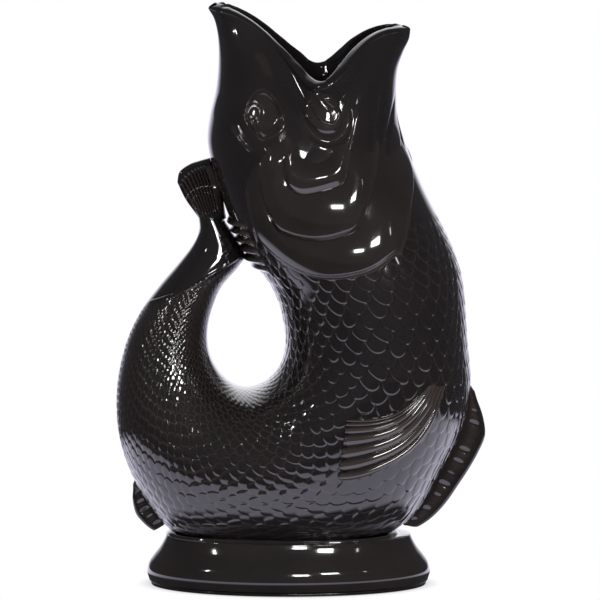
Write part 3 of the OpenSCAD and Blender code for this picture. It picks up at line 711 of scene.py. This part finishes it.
# How crisp each plate's edge is along its length
GILL_CRISP = [0.3, 0.7, 1, 1, 1, 1, 1, 1, 0.9, 0.8]
CHEEK_CRISP = [0, 0, 0.1, 0.7, 1, 1, 1, 0.9, 0.1, 0]
INNER_CRISP = [0, 0, 0.3, 1, 1, 1, 0.8, 0.1, 0]
# Points along the edge and inwards, how they crowd towards the edge, and steps that measure the depth
PLATE_GRID = (260, 84)
PLATE_CROWDING = 1.7
PLATE_STEPS = 20
# Height of a plate's foot and of its sunk ends, and depth of its underside, in millimetres
PLATE_START = -0.4
PLATE_SINK = -0.7
PLATE_UNDER = 0.5
# Share of the edge where an end sinks, and shares of the way in where the rise falls and the root sinks
END_FADE = 0.16
FALL_FROM = 0.1
ROOT_FROM = 0.25
SKIRT_MOST = 0.3
# How much wider a soft edge is than a crisp one, and the share of its rise that is left
SOFT_WIDTH = 2.6
SOFT_RISE = 0.45
# How thin the glaze is, how much thinner at the edge, and over how many millimetres
PLATE_THIN = 0.3
EDGE_THIN = 0.3
EDGE_THIN_RUN = 3


def plate(name, node, side, edge, root, steps, crisp, root_share, crown, start=PLATE_START, skirt=0.0):
    """A plate that stands off the flank: bevels along its free edge, sinking into the flank at its ends.

    steps holds how far in each bevel starts, its width and its rise. crisp holds, along the edge, how much
    of the bevel is left: less of it makes the same edge a soft roll.
    """
    cols, rows = PLATE_GRID
    a = np.linspace(0, 1, cols)
    e, r = share_row(edge, a)[:, None], share_row(root, a)[:, None]
    line = on_skin(e + (r - e) * np.linspace(0, 1, PLATE_STEPS)[:, None], side)
    reach = length(np.diff(line, axis=1)).sum(1)[:, None]
    back = np.minimum(SKIRT_MOST, skirt / reach)
    b = np.linspace(0, 1, rows)[None, :] ** PLATE_CROWDING * (1 + back) - back
    spots = e + (r - e) * b[..., None]
    distance = (b + back) * reach
    hard = np.clip(share_row(np.array(crisp)[:, None], a), 0, 1)
    height = np.full(b.shape, start)
    for inset, width, rise in steps:
        wide = width * (1 + (1 - hard) * SOFT_WIDTH)
        height = height + rise * (SOFT_RISE + (1 - SOFT_RISE) * hard) * ramp((distance - inset) / wide)
    fall = 1 - (1 - root_share) * smooth(FALL_FROM, 1, b)
    along = np.clip(b, 0, 1)
    height = start + (height - start) * fall + crown * 4 * along * (1 - along)
    fade = smooth(0, END_FADE, from_ends(a))[:, None]
    fade = fade * (1 - smooth(ROOT_FROM, 1, b) * (root_share == 0))
    height = height * fade + PLATE_SINK * (1 - fade)
    under = off_skin(spots, np.minimum(height, start) - PLATE_UNDER, side)
    worn = PLATE_THIN + EDGE_THIN * np.exp(-distance / EDGE_THIN_RUN)
    shell(name, node, under, off_skin(spots, height, side), worn)


# Domes and rings on the flank
CORNER_SHARES = [
    [0.480, 0.030], [0.473, 0.069], [0.482, 0.087], [0.505, 0.100], [0.535, 0.113], [0.575, 0.129],
    [0.615, 0.141], [0.634, 0.134], [0.628, 0.111], [0.590, 0.060], [0.548, 0.018], [0.510, 0.012],
]
CORNER_CENTRE = np.array([0.556, 0.084])
TEAR_SHARES = [
    [0.527, 0.006], [0.508, 0.022], [0.500, 0.046], [0.515, 0.063], [0.535, 0.083], [0.560, 0.098],
    [0.590, 0.115], [0.607, 0.117], [0.612, 0.108], [0.593, 0.084], [0.552, 0.039],
]
TEAR_INSIDE = [[0.515, 0.012], [0.532, 0.039], [0.557, 0.065], [0.575, 0.082]]
EYE_RING_SHARES = [
    [0.269, 0.145], [0.290, 0.118], [0.334, 0.104], [0.378, 0.104], [0.418, 0.115], [0.427, 0.138],
    [0.400, 0.161], [0.358, 0.173], [0.310, 0.165],
]
EYE_SHARES = [
    [0.279, 0.144], [0.297, 0.121], [0.335, 0.108], [0.374, 0.108], [0.409, 0.118], [0.416, 0.136],
    [0.393, 0.156], [0.356, 0.168], [0.311, 0.161],
]
EYE_CENTRE = np.array([0.338, 0.135])
IRIS_SHARES = np.array([
    [0.280, 0.144], [0.290, 0.132], [0.312, 0.125], [0.338, 0.126], [0.355, 0.134], [0.350, 0.145],
    [0.328, 0.154], [0.302, 0.152],
])
IRIS_CENTRE = np.array([0.319, 0.139])
PUPIL_OF_IRIS = 0.64
PUPIL_SHARES = IRIS_CENTRE + (IRIS_SHARES - IRIS_CENTRE) * PUPIL_OF_IRIS
EYE_CREASE = [[0.318, 0.146], [0.330, 0.154], [0.345, 0.163], [0.356, 0.172]]
# Fine lines on the domes: line, width, height, share that fades at the ends, and whether it closes
CORNER_DETAIL = [(TEAR_SHARES, 0.42, 0.45, 0, True), (TEAR_INSIDE, 0.38, 0.35, 0.35, False)]
EYE_DETAIL = [
    (IRIS_SHARES, 0.35, 0.13, 0, True),
    (PUPIL_SHARES, 0.32, 0.10, 0, True),
    (EYE_CREASE, 0.55, -0.6, 0.15, False),
]
# Rise of a dome's bevel, and the share of the way in that it takes
CORNER_BEVEL = (1.0, 0.18)
EYE_BEVEL = (1.5, 0.24)
# Points round a dome and inwards, and its crown, sunk edge and underside in millimetres
DOME_GRID = (192, 64)
DOME_CROWN = 0.5
DOME_SINK = 0.2
DOME_UNDER = 1.2
UNDER_EVERY = 12
DOME_THIN = 0.35
# Eye ring: points round and across, lap over the eye, rise, sunk edges and underside
SOCKET_GRID = (192, 40)
SOCKET_LAP = 1.04
SOCKET_RISE = 0.35
SOCKET_SINK = 0.15
SOCKET_UNDER = 1.0
SOCKET_THIN = 0.4


def dome(name, node, side, outline, centre, bevel, lines):
    """A dome inside a closed outline: a bevel at its edge, a low crown, and fine lines on it."""
    n, rows = DOME_GRID
    rise, share = bevel

    def height_at(t, spots):
        crown = DOME_CROWN * (1 - (1 - t) ** 2)
        return (rise * ramp(t / share) + crown - DOME_SINK)[:, None] + strokes(on_skin(spots), lines)

    inward = np.linspace(0, 1, rows)[:-1]
    rim = round_row(outline, np.arange(n) / n)
    spots = rim[None] + (centre - rim)[None] * inward[:, None, None]
    top = off_skin(spots, height_at(inward, spots), side)
    under = off_skin(spots[::UNDER_EVERY][::-1], -DOME_UNDER, side)
    peak = height_at(np.ones(1), centre[None, None])[0, 0]
    ends = np.stack([off_skin(centre, -DOME_UNDER, side), off_skin(centre, peak, side)])
    capped(name, node, np.concatenate([under, top]), ends, DOME_THIN)


def build_eye_ring(name, node, side):
    n, rows = SOCKET_GRID
    t = np.linspace(0, 1, rows)
    rim = round_row(EYE_RING_SHARES, np.arange(n) / n)
    inner = rim + (round_row(EYE_SHARES, np.arange(n) / n) - rim) * SOCKET_LAP
    spots = rim[:, None] + (inner - rim)[:, None] * t[None, :, None]
    top = off_skin(spots, SOCKET_RISE * np.sin(t * math.pi) - SOCKET_SINK, side)
    under = off_skin(spots, -SOCKET_UNDER, side)
    tube(name, node, np.concatenate([under, top[:, ::-1]], 1), SOCKET_THIN)


# Side fins: lines along the edge, the waist and the root of each
PECTORAL_SHARES = [
    [[0.437, 0.531], [0.459, 0.546], [0.483, 0.562], [0.508, 0.575], [0.541, 0.585]],
    [[0.558, 0.514], [0.585, 0.521], [0.614, 0.528], [0.646, 0.534], [0.678, 0.538]],
    [[0.689, 0.480], [0.706, 0.480], [0.723, 0.481], [0.741, 0.481], [0.760, 0.480]],
]
# Where one rib ends and the next begins: the lowest is the widest
RAY_EDGES = [0, 0.06, 0.14, 0.27, 0.45, 0.64, 0.84, 1]
# Points along the edge and inwards, and how they crowd towards the edge
PECTORAL_GRID = (224, 120)
PECTORAL_CROWDING = 1.2
# How blunt ribs and margins are, and how far and how narrowly the edge draws back between ribs
BLUNT = 0.6
NOTCH_SHARE = 0.06
NOTCH_NARROW = 1.5
# Rise of the web, of the first rib above it, and how much more the last one rises, in millimetres
WEB_RISE = 0.9
RIB_RISE = 1.2
RIB_MORE = 1.0
# Rounding of the edge, and depth of the sunk root and of the underside, in millimetres
TIP_ROUND = 1.8
ROOT_SINK = 0.4
PECTORAL_UNDER = 1.2
# Share of the height lost towards the root, from where on, and share that the ribs lose
ROOT_FALL = 0.92
ROOT_FALL_FROM = 0.45
RIB_FALL = 0.2
# Share of the fin in each side margin, and share of the height left there
MARGIN_SHARE = 0.02
MARGIN_LOW = 0.35


def quarter(t):
    """A rise from 0 to 1 along a quarter of a circle."""
    return np.sqrt(1 - (1 - np.clip(t, 0, 1)) ** 2)


def between_lines(lines, a, b):
    """Spots at shares a along a set of lines and, for each of those, a row of shares b across them."""
    tables = np.stack([share_row(line, a) for line in lines], 1)
    return np.stack([share_row(table, across) for table, across in zip(tables, b)])


def build_pectoral(name, node, side):
    cols, rows = PECTORAL_GRID
    a = np.linspace(0, 1, cols)
    b = np.linspace(0, 1, rows) ** PECTORAL_CROWDING
    phase = np.interp(a, RAY_EDGES, np.arange(len(RAY_EDGES)))
    ray = np.abs(np.sin(math.pi * phase)) ** BLUNT
    start = NOTCH_SHARE * (1 - ray) ** NOTCH_NARROW
    spots = between_lines(PECTORAL_SHARES, a, start[:, None] + (1 - start)[:, None] * b)
    run = np.cumsum(length(np.diff(on_skin(spots, side), axis=1)), 1)
    distance = np.concatenate([np.zeros((cols, 1)), run], 1)
    fall = 1 - ROOT_FALL * smooth(ROOT_FALL_FROM, 1, b)
    margin = np.minimum(1, from_ends(a) / MARGIN_SHARE)[:, None] ** BLUNT
    rib = (WEB_RISE + (RIB_RISE + RIB_MORE * a) * ray)[:, None] * (1 - RIB_FALL * smooth(0, 1, b))
    height = rib * quarter(distance / TIP_ROUND) * fall * (MARGIN_LOW + (1 - MARGIN_LOW) * margin)
    top = off_skin(spots, height - ROOT_SINK * (1 - fall), side)
    shell(name, node, off_skin(spots, -PECTORAL_UNDER, side), top, ray[:, None])


# Fins on the keel: where each starts, its height, its outline and its number of hollows
BELLY_FIN = (0.487, 10.0, [0.1, 0.33, 0.68, 0.98, 1, 0.97, 0.92, 0.83, 0.64, 0.36], 12)
ANAL_FIN = (0.716, 6.8, [0.1, 0.35, 0.66, 0.87, 1, 0.97, 0.88, 0.72], 6)
# Points along a fin and outwards, and how they crowd towards its rim
KEEL_FIN_GRID = (260, 40)
KEEL_FIN_CROWDING = 0.8
# Gap above the foot and least height, as shares, and the share over which an end rises
FIN_CLEAR = 0.0105
FIN_LEAST = 0.05
FIN_ENDS = (-0.02, 0.05)
# Depth of the root, and how far out the fin's direction is measured, in millimetres
FIN_ROOT = 1.5
FIN_AIM = 8.0
# Half thickness in millimetres, share of it at the root, and squareness of the rim
FIN_HALF = 1.9
FIN_ROOT_SHARE = 0.65
FIN_RIM_SQUARE = 30
# Hollows: depth in millimetres, narrowness, and the shares outwards where they begin and end
DIMPLE_DEPTH = 0.42
DIMPLE_NARROW = 4
DIMPLE_IN = (0.20, 0.50)
DIMPLE_OUT = (0.55, 0.84)
# How far the hollows shift, how fast, their mean depth, and how fast it varies
DIMPLE_SHIFT = 0.012
DIMPLE_SHIFT_RATE = 9
DIMPLE_MEAN = 0.62
DIMPLE_RATE = 2.4
# How thin the glaze is, and how much thinner between the hollows
FIN_GLAZE_THIN = 0.3
FIN_GLAZE_MORE = 0.5


def build_keel_fin(name, node, span, start, height, outline, dimples):
    """A thin fin in the plane of symmetry with a row of hollows between its rays, and a plain rim."""
    cols, rows = KEEL_FIN_GRID
    a = np.linspace(0, 1, cols)
    end = keel_place(FOOT_HEIGHT / HEIGHT + FIN_CLEAR, span) / LAST
    rise = height * np.maximum(FIN_LEAST, share_row(np.array(outline)[:, None], a)[:, 0])
    rise = rise * smooth(*FIN_ENDS, from_ends(a))
    spots = np.stack([np.ones(cols), start + (end - start) * a], -1)
    root = off_skin(spots, -FIN_ROOT)
    out = unit(off_skin(spots, FIN_AIM) - root)
    up = np.sin(np.linspace(0, math.pi / 2, rows)) ** KEEL_FIN_CROWDING
    thick = FIN_HALF * (FIN_ROOT_SHARE + (1 - FIN_ROOT_SHARE) * up) * np.sqrt(1 - up ** FIN_RIM_SQUARE)
    phase = dimples * (a + DIMPLE_SHIFT * np.sin(DIMPLE_SHIFT_RATE * a))
    own = DIMPLE_MEAN + (1 - DIMPLE_MEAN) * np.sin(DIMPLE_RATE * phase)
    hollow = (np.sin(math.pi * phase) ** DIMPLE_NARROW * own)[:, None]
    band = smooth(*DIMPLE_IN, up) * (1 - smooth(*DIMPLE_OUT, up))
    half = thick - DIMPLE_DEPTH * hollow * band * np.clip(rise / height, 0, 1)[:, None]
    middle = root[:, None] + out[:, None] * (up[:, None] * (rise + FIN_ROOT)[:, None, None])
    step = half[..., None] * [0, 1, 0]
    tint = FIN_GLAZE_THIN + FIN_GLAZE_MORE * (1 - hollow) * band
    shell(name, node, middle - step, middle + step, tint, tint)


# Spines down the back: how many, where along the stations, and how far they rise
SPINES = 6
SPINE_SPAN = (0.290, 0.356)
SPINE_RISE = 2.0
SPINE_RISE_SHARES = np.array([0.7, 0.9, 1, 1.05, 1.2, 1.45, 1.1, 0.4])[:, None]
# Points down the back and across it, and half the width as a share of a half turn
SPINE_GRID = (240, 90)
SPINE_HALF = 0.17
# Shares of the rise left between spines and at their ends, and of the width that is rounded
SPINE_LEAST = 0.05
SPINE_END = 0.3
SPINE_ROUND = 0.06
# How far the fin stands off the skin and reaches below it, in millimetres
SPINE_LIFT = 0.1
SPINE_UNDER = 1.0


def build_dorsal():
    rows, cols = SPINE_GRID
    a = np.linspace(0, 1, rows)
    s = np.linspace(-1, 1, cols)
    rib = np.sin(math.pi * SPINES * a) ** 2
    place = np.interp(a, [0, 1], SPINE_SPAN)
    rise = SPINE_RISE * (SPINE_LEAST + (1 - SPINE_LEAST) * rib) * share_row(SPINE_RISE_SHARES, a)[:, 0]
    arch = SPINE_END + (1 - SPINE_END) * (1 - s ** 2)
    arch = arch * np.sqrt(np.minimum(1, (1 - np.abs(s)) / SPINE_ROUND))
    spots = np.stack(np.broadcast_arrays(s * SPINE_HALF, place[:, None]), -1)
    top = off_skin(spots, rise[:, None] * arch + SPINE_LIFT)
    shell("dorsal_spines", "dorsal_fin", off_skin(spots, -SPINE_UNDER), top, rib[:, None])


# Tail fin: lines along the root, the waist and the margin, as X and Z
FAN_SHARES = [
    [[-0.2755, 0.6340], [-0.2590, 0.6340], [-0.2420, 0.6340], [-0.2230, 0.6340], [-0.2000, 0.6340]],
    [[-0.3104, 0.6630], [-0.2915, 0.6720], [-0.2700, 0.6780], [-0.2450, 0.6815], [-0.2150, 0.6820]],
    [[-0.3335, 0.6906], [-0.3265, 0.7085], [-0.2990, 0.7215], [-0.2720, 0.7275], [-0.2452, 0.7322]],
]
FAN_GRID = (260, 90)
# Ribs: how many, where they end towards the head, and how evenly they are spaced
FAN_RAYS = 9
FAN_RAYS_END = 0.83
FAN_EVEN = 0.68
# How far out the fan narrows from the tail's own depth, and its share of that depth
FAN_SWELL = 0.6
FAN_ROOT_SHARE = 0.97
# Thickness, depth of the grooves and lap over the tail, in millimetres
FAN_THICK = 3.6
FAN_GROOVE = 1.0
FAN_LAP = 1.2
# Shares outwards where the grooves begin and end, and how much sooner far from the head
GROOVE_IN = (0.02, 0.12)
GROOVE_OUT = (0.84, 0.92)
GROOVE_SLANT = 0.04
# Share of the fan in its rounded rim, and share of the thickness left at its sides
FAN_RIM = 0.05
FAN_SIDE = 0.25
FAN_GLAZE_THIN = 0.7


def build_tail_fin():
    """A ribbed fan in the plane of symmetry with a plain margin, and a plain band next to the head."""
    cols, rows = FAN_GRID
    a = np.linspace(0, 1, cols)
    b = np.linspace(0, 1, rows)
    spots = between_lines(FAN_SHARES, a, np.broadcast_to(b, (cols, rows)))
    lens = np.sqrt(np.clip(1 - (2 * a - 1) ** 2, 0, 1))[:, None]
    root = FAN_ROOT_SHARE * STATION_SHARES[-1, 4] * DEPTH / 2 * lens
    swell = 1 - smooth(0, FAN_SWELL, b)
    half = FAN_THICK / 2 * (1 - swell) + root * swell
    across = np.clip(a / FAN_RAYS_END, 0, 1)[:, None]
    ridge = np.abs(np.cos(math.pi * FAN_RAYS * (FAN_EVEN * across + (1 - FAN_EVEN) * across ** 2)))
    field = smooth(*GROOVE_IN, b) * (1 - smooth(*GROOVE_OUT, b + GROOVE_SLANT * (1 - across)))
    half = half - FAN_GROOVE * (1 - ridge) * field * (across < 1)
    side_rim = quarter(from_ends(a) / FAN_RIM)[:, None]
    half = half * quarter((1 - b) / FAN_RIM) * (FAN_SIDE + (1 - FAN_SIDE) * side_rim)
    x, z = spots[..., 0] * LENGTH, spots[..., 1] * HEIGHT - FAN_LAP * (1 - b)
    tint = ridge * field * FAN_GLAZE_THIN
    shell("tail_fan", "tail_fin", np.stack([x, -half, z], -1), np.stack([x, half, z], -1), tint, tint)


build_head()
build_body()
build_tail()
build_foot()
build_foot_ring()
build_tail_fin()
build_dorsal()
build_keel_fin("belly_keel_fin", "belly_fin", KEEL_BELLY, *BELLY_FIN)
build_keel_fin("anal_keel_fin", "anal_fin", KEEL_TAIL, *ANAL_FIN)
for side, word in ((1, "left"), (-1, "right")):
    build_pectoral("side_fin_" + word, "pectoral_fin_" + word, side)
    plate("gill_plate_" + word, "gill_cover_" + word, side, GILL_EDGE_SHARES, CHEEK_EDGE_SHARES,
          GILL_STEPS, GILL_CRISP, root_share=0.5, crown=1.1, skirt=2.0)
    plate("cheek_" + word, "cheek_plate_" + word, side, CHEEK_EDGE_SHARES, INNER_EDGE_SHARES,
          CHEEK_STEPS, CHEEK_CRISP, root_share=0.6, crown=1.3, start=0.7)
    plate("cheek_middle_" + word, "inner_cheek_" + word, side, INNER_EDGE_SHARES, INNER_ROOT_SHARES,
          INNER_STEPS, INNER_CRISP, root_share=0.0, crown=1.5, start=1.4)
    dome("corner_fold_" + word, "mouth_corner_" + word, side, CORNER_SHARES, CORNER_CENTRE, CORNER_BEVEL,
         CORNER_DETAIL)
    build_eye_ring("socket_" + word, "eye_ring_" + word, side)
    dome("eyeball_" + word, "eye_" + word, side, EYE_SHARES, EYE_CENTRE, EYE_BEVEL, EYE_DETAIL)


# Materials
class Tree:
    """The shader nodes of a material or a world, and the steps that both of them use."""

    def __init__(self, block, output):
        block.use_nodes = True
        self.nodes = block.node_tree.nodes
        self.links = block.node_tree.links
        self.nodes.clear()
        self.surface = self.nodes.new(output).inputs["Surface"]

    def join(self, value, socket):
        """Gives a socket a number, a colour or what another node puts out."""
        if isinstance(value, bpy.types.NodeSocket):
            self.links.new(value, socket)
        elif socket.type == "RGBA":
            socket.default_value = (*value, 1)
        else:
            socket.default_value = value

    def add(self, kind, sockets=(), **settings):
        node = self.nodes.new("ShaderNode" + kind)
        for name, value in settings.items():
            setattr(node, name, value)
        for key, value in dict(sockets).items():
            self.join(value, node.inputs[key])
        return node

    def compute(self, operation, *values):
        return self.add("Math", enumerate(values), operation=operation).outputs["Value"]

    def remap(self, value, low, high, from_low=0.0, from_high=1.0):
        span = {"From Min": from_low, "From Max": from_high, "To Min": low, "To Max": high}
        return self.add("MapRange", {"Value": value, **span}).outputs["Result"]

    def blend(self, value, *stops):
        """A colour between two others, each given with the value where it is reached."""
        node = self.add("ValToRGB", {"Fac": value})
        for element, (place, colour) in zip(node.color_ramp.elements, stops):
            element.position = place
            element.color = (*colour, 1)
        return node.outputs["Color"]

    def split(self, vector):
        return self.add("SeparateXYZ", {"Vector": vector}).outputs

    def noise(self, scale, detail):
        """Noise fixed to the object."""
        place = self.add("TexCoord").outputs["Object"]
        return self.add("TexNoise", {"Vector": place, "Scale": scale, "Detail": detail}).outputs["Fac"]

    def relief(self, height, strength, distance):
        sockets = {"Height": height, "Strength": strength, "Distance": distance}
        return self.add("Bump", sockets).outputs["Normal"]

    def glow(self, colour):
        return self.add("Emission", {"Color": colour}).outputs["Emission"]

    def background(self, colour, strength=1.0):
        return self.add("Background", {"Color": colour, "Strength": strength}).outputs["Background"]

    def choose(self, factor, otherwise, chosen):
        return self.add("MixShader", {0: factor, 1: otherwise, 2: chosen}).outputs["Shader"]

    def show(self, lit, mirrored, seen):
        """Three looks: for the light that falls on things, for the gloss, and for the camera itself."""
        path = self.add("LightPath").outputs
        unseen = self.choose(path["Is Glossy Ray"], lit, mirrored)
        self.join(self.choose(path["Is Camera Ray"], unseen, seen), self.surface)


def new_material(name):
    material = bpy.data.materials.new(name)
    return material, Tree(material, "ShaderNodeOutputMaterial")


WHITE = (1, 1, 1)
GLAZE_DARK = (0.0125, 0.0106, 0.0106)
GLAZE_THIN = (0.0560, 0.0410, 0.0360)
CLAY_DARK = (0.38, 0.33, 0.27)
CLAY_PALE = (0.56, 0.50, 0.42)
# How thin the glaze is where it starts to turn brown, and where it is brown
BROWN_FROM = 0.08
BROWN_TO = 0.55
# Refraction and roughness of the glaze and its clear coat
GLAZE_IOR = 1.6
COAT_IOR = 1.5
COAT_ROUGH = 0.03
GLAZE_ROUGH = (0.05, 0.13)
# Scale and detail of each noise, and strength and depth in metres of the relief from two of them
THIN_NOISE = (34, 4)
ROUGH_NOISE = (160, 3)
WAVE_NOISE = (70, 1)
WAVE_RELIEF = (0.05, 0.001)
GRAIN_NOISE = (900, 6)
GRAIN_RELIEF = (0.3, 0.0003)
# How far down the ring faces where it is bare clay, and how rough its glaze and its clay are
CLAY_DOWN = (-0.9, -0.6)
RING_ROUGH = (0.07, 0.9)
# Numbers of the colour sockets of a mix
MIX_FIRST, MIX_SECOND, MIX_RESULT = 6, 7, 2


def glaze_material():
    """Black glaze, a little brown where it has run thin over an edge."""
    material, tree = new_material("black_glaze")
    thin = tree.add("Attribute", attribute_name="thin").outputs["Fac"]
    brown = tree.compute("MULTIPLY", thin, tree.noise(*THIN_NOISE))
    shader = tree.add("BsdfPrincipled", {
        "IOR": GLAZE_IOR,
        "Coat Weight": 1.0,
        "Coat Roughness": COAT_ROUGH,
        "Coat IOR": COAT_IOR,
        "Base Color": tree.blend(brown, (BROWN_FROM, GLAZE_DARK), (BROWN_TO, GLAZE_THIN)),
        "Roughness": tree.remap(tree.noise(*ROUGH_NOISE), *GLAZE_ROUGH),
        "Normal": tree.relief(tree.noise(*WAVE_NOISE), *WAVE_RELIEF),
    })
    tree.join(shader.outputs["BSDF"], tree.surface)
    return material


def clay_material():
    """Bare clay under the ring, glazed on its sides."""
    material, tree = new_material("bare_clay")
    normal = tree.split(tree.add("NewGeometry").outputs["Normal"])
    under = tree.remap(normal["Z"], 1, 0, *CLAY_DOWN)
    grain = tree.noise(*GRAIN_NOISE)
    clay = tree.blend(grain, (0, CLAY_DARK), (1, CLAY_PALE))
    mix = tree.add("Mix", {"Factor": under, MIX_FIRST: GLAZE_DARK, MIX_SECOND: clay}, data_type="RGBA")
    shader = tree.add("BsdfPrincipled", {
        "Base Color": mix.outputs[MIX_RESULT],
        "Roughness": tree.remap(under, *RING_ROUGH),
        "Normal": tree.relief(grain, *GRAIN_RELIEF),
    })
    tree.join(shader.outputs["BSDF"], tree.surface)
    return material


glaze = glaze_material()
clay = clay_material()
for thing in list(bpy.data.objects):
    if thing.type == "MESH":
        thing.data.materials.clear()
        thing.data.materials.append(clay if thing.name in ("foot_ring", "standing_ring") else glaze)


# Floor and surroundings
FLOOR_RADIUS = 30
FLOOR_SIDES = 96
FLOOR_COLOUR = (0.85, 0.85, 0.87)
FLOOR_MIRRORED = (0.92, 0.89, 1.08)
ROOM_DARK = (0.040, 0.039, 0.044)
ROOM_PALE = (1.0, 1.0, 1.05)
ROOM_FRONT = 0.045
# How strongly the room lights all but the gloss
ROOM_LIGHT = 0.52
# How wide the pale sheet behind is, and how far back it starts, as parts of a reflected direction
SHEET_ASIDE = (0.14, 0.44)
SHEET_BACK = (0.45, 0.8)
# How far in front the floor's painted pool of light shows pale in the gloss, in metres, and how that line
# slants back at the sides
FLOOR_PALE_TO = 0.22
FLOOR_DARK_FROM = 0.285
FLOOR_SLANT = 0.5
# Length and depth of the painted pool of light on the floor round the jug, and of the foot's own painted
# shade in it, with how far each fades
FLOOR_NEAR = (0.50, 0.54)
FLOOR_FADE = 1.25
FOOT_SHADE = (0.148, 0.117)
SHADE_FADE = 1.2
# How far back a reflection must point, from 0 at the side to 1, for the room to turn pale
PALE_BEHIND = (0.85, 0.98)
# The shadow round the foot: its reach in metres, its colour, and how open the floor is at its two ends
SHADOW_REACH = 0.007
SHADOW_COLOUR = (0.62, 0.62, 0.64)
SHADOW_DARK = 0.2
SHADOW_CLEAR = 0.9


def far(tree, spot, size):
    """How far out a spot of the floor lies, as a share of an oval of this length and depth."""
    scale = (2 / size[0], 2 / size[1], 0)
    scaled = tree.add("VectorMath", {0: spot, 1: scale}, operation="MULTIPLY").outputs["Vector"]
    return tree.add("VectorMath", {0: scaled}, operation="LENGTH").outputs["Value"]


# The floor glows rather than being lit. To the camera it is white, with a painted shadow round the foot. In
# the gloss it shows a painted pool of light, pale round the jug and behind it and dark further out, with the
# foot's painted shade in it
def floor_material():
    material, tree = new_material("pale_floor")
    spot = tree.add("NewGeometry").outputs["Position"]
    place = tree.split(spot)
    slant = tree.compute("MULTIPLY", tree.compute("ABSOLUTE", place["X"]), FLOOR_SLANT)
    ahead = tree.compute("SUBTRACT", slant, place["Y"])
    pale = tree.remap(ahead, 1, 0, FLOOR_PALE_TO, FLOOR_DARK_FROM)
    near = tree.remap(far(tree, spot, FLOOR_NEAR), 1, 0, 1, FLOOR_FADE)
    # The foot's painted shade in the floor's glow
    clear = tree.remap(far(tree, spot, FOOT_SHADE), 0, 1, 1, SHADE_FADE)
    heading = tree.add("VectorMath", {0: spot}, operation="NORMALIZE").outputs["Vector"]
    behind = tree.remap(tree.split(heading)["Y"], 0, 1, *PALE_BEHIND)
    # The painted pool of light that the gloss shows, pale near the jug and behind it
    shown = tree.compute("MAXIMUM", tree.compute("MULTIPLY", pale, near), behind)
    shown = tree.compute("MULTIPLY", shown, clear)
    # A painted shadow round the foot, darker where the floor is less open
    open_share = tree.add("AmbientOcclusion", {"Distance": SHADOW_REACH}).outputs["AO"]
    shadow = tree.blend(open_share, (SHADOW_DARK, SHADOW_COLOUR), (SHADOW_CLEAR, WHITE))
    paint = tree.add("BsdfDiffuse", {"Color": FLOOR_COLOUR}).outputs["BSDF"]
    tree.show(paint, tree.glow(tree.blend(shown, (0, ROOM_DARK), (1, FLOOR_MIRRORED))), tree.glow(shadow))
    return material


def build_floor():
    bpy.ops.mesh.primitive_circle_add(vertices=FLOOR_SIDES, radius=FLOOR_RADIUS, fill_type="NGON")
    floor = bpy.context.active_object
    floor.name = "floor"
    floor.data.materials.append(floor_material())


def build_world():
    """White where it is seen. In the gloss the room is dark in front and pale behind."""
    world = bpy.data.worlds.new("studio")
    bpy.context.scene.world = world
    tree = Tree(world, "ShaderNodeOutputWorld")
    way = tree.split(tree.add("TexCoord").outputs["Generated"])
    aside = tree.remap(tree.compute("ABSOLUTE", way["X"]), 1, 0, *SHEET_ASIDE)
    sheet = tree.compute("MINIMUM", aside, tree.remap(way["Y"], 0, 1, *SHEET_BACK))
    front = tree.remap(way["Y"], ROOM_FRONT, 0, -1, 0)
    room = tree.blend(tree.compute("MAXIMUM", sheet, front), (0, ROOM_DARK), (1, ROOM_PALE))
    tree.show(tree.background(WHITE, ROOM_LIGHT), tree.background(room), tree.background(WHITE))


# Lamps: azimuth and elevation in degrees, width and height in metres, and watts
LAMPS = {
    "key_right": (29, 28, 0.27, 0.15, 4.0),
    "key_middle": (8, 22, 0.24, 0.12, 2.9),
    "left": (-64, 30, 0.06, 0.13, 0.75),
    "right": (58, 28, 0.035, 0.09, 0.09),
}
LAMP_DISTANCE = 1.4
LAMP_AIM = Vector((0, 0, 0.13))


def lamp(name, azimuth, elevation, width, height, watts):
    """A small softbox that faces the jug. Azimuth 0 is the camera's side, positive to its right."""
    light = bpy.data.lights.new(name, "AREA")
    light.shape = "RECTANGLE"
    light.size = width
    light.size_y = height
    light.energy = watts
    thing = bpy.data.objects.new(name, light)
    a, e = math.radians(azimuth), math.radians(elevation)
    way = Vector((math.sin(a) * math.cos(e), -math.cos(a) * math.cos(e), math.sin(e)))
    thing.location = LAMP_AIM + way * LAMP_DISTANCE
    thing.rotation_euler = way.to_track_quat("Z", "Y").to_euler()
    bpy.context.scene.collection.objects.link(thing)


# Camera: width of the picture at the jug, distance, reach, angle and aim, in metres
FRAME_WIDTH = 0.2510
CAMERA_DISTANCE = 9.0
CAMERA_REACH = 50
CAMERA_ELEVATION = math.radians(6.8)
AIM_HEIGHT = 0.1195
SENSOR = 36


def build_camera():
    data = bpy.data.cameras.new("camera")
    camera = bpy.data.objects.new("camera", data)
    data.sensor_width = SENSOR
    data.lens = SENSOR * CAMERA_DISTANCE / FRAME_WIDTH
    data.clip_end = CAMERA_REACH
    rise = CAMERA_DISTANCE * math.sin(CAMERA_ELEVATION)
    camera.location = (0, -CAMERA_DISTANCE * math.cos(CAMERA_ELEVATION), AIM_HEIGHT + rise)
    camera.rotation_euler = (math.pi / 2 - CAMERA_ELEVATION, 0, 0)
    bpy.context.scene.collection.objects.link(camera)
    bpy.context.scene.camera = camera


build_floor()
build_world()
for name, sizes in LAMPS.items():
    lamp(name, *sizes)
build_camera()
bpy.context.scene.view_settings.view_transform = "Standard"

bpy.context.view_layer.update()
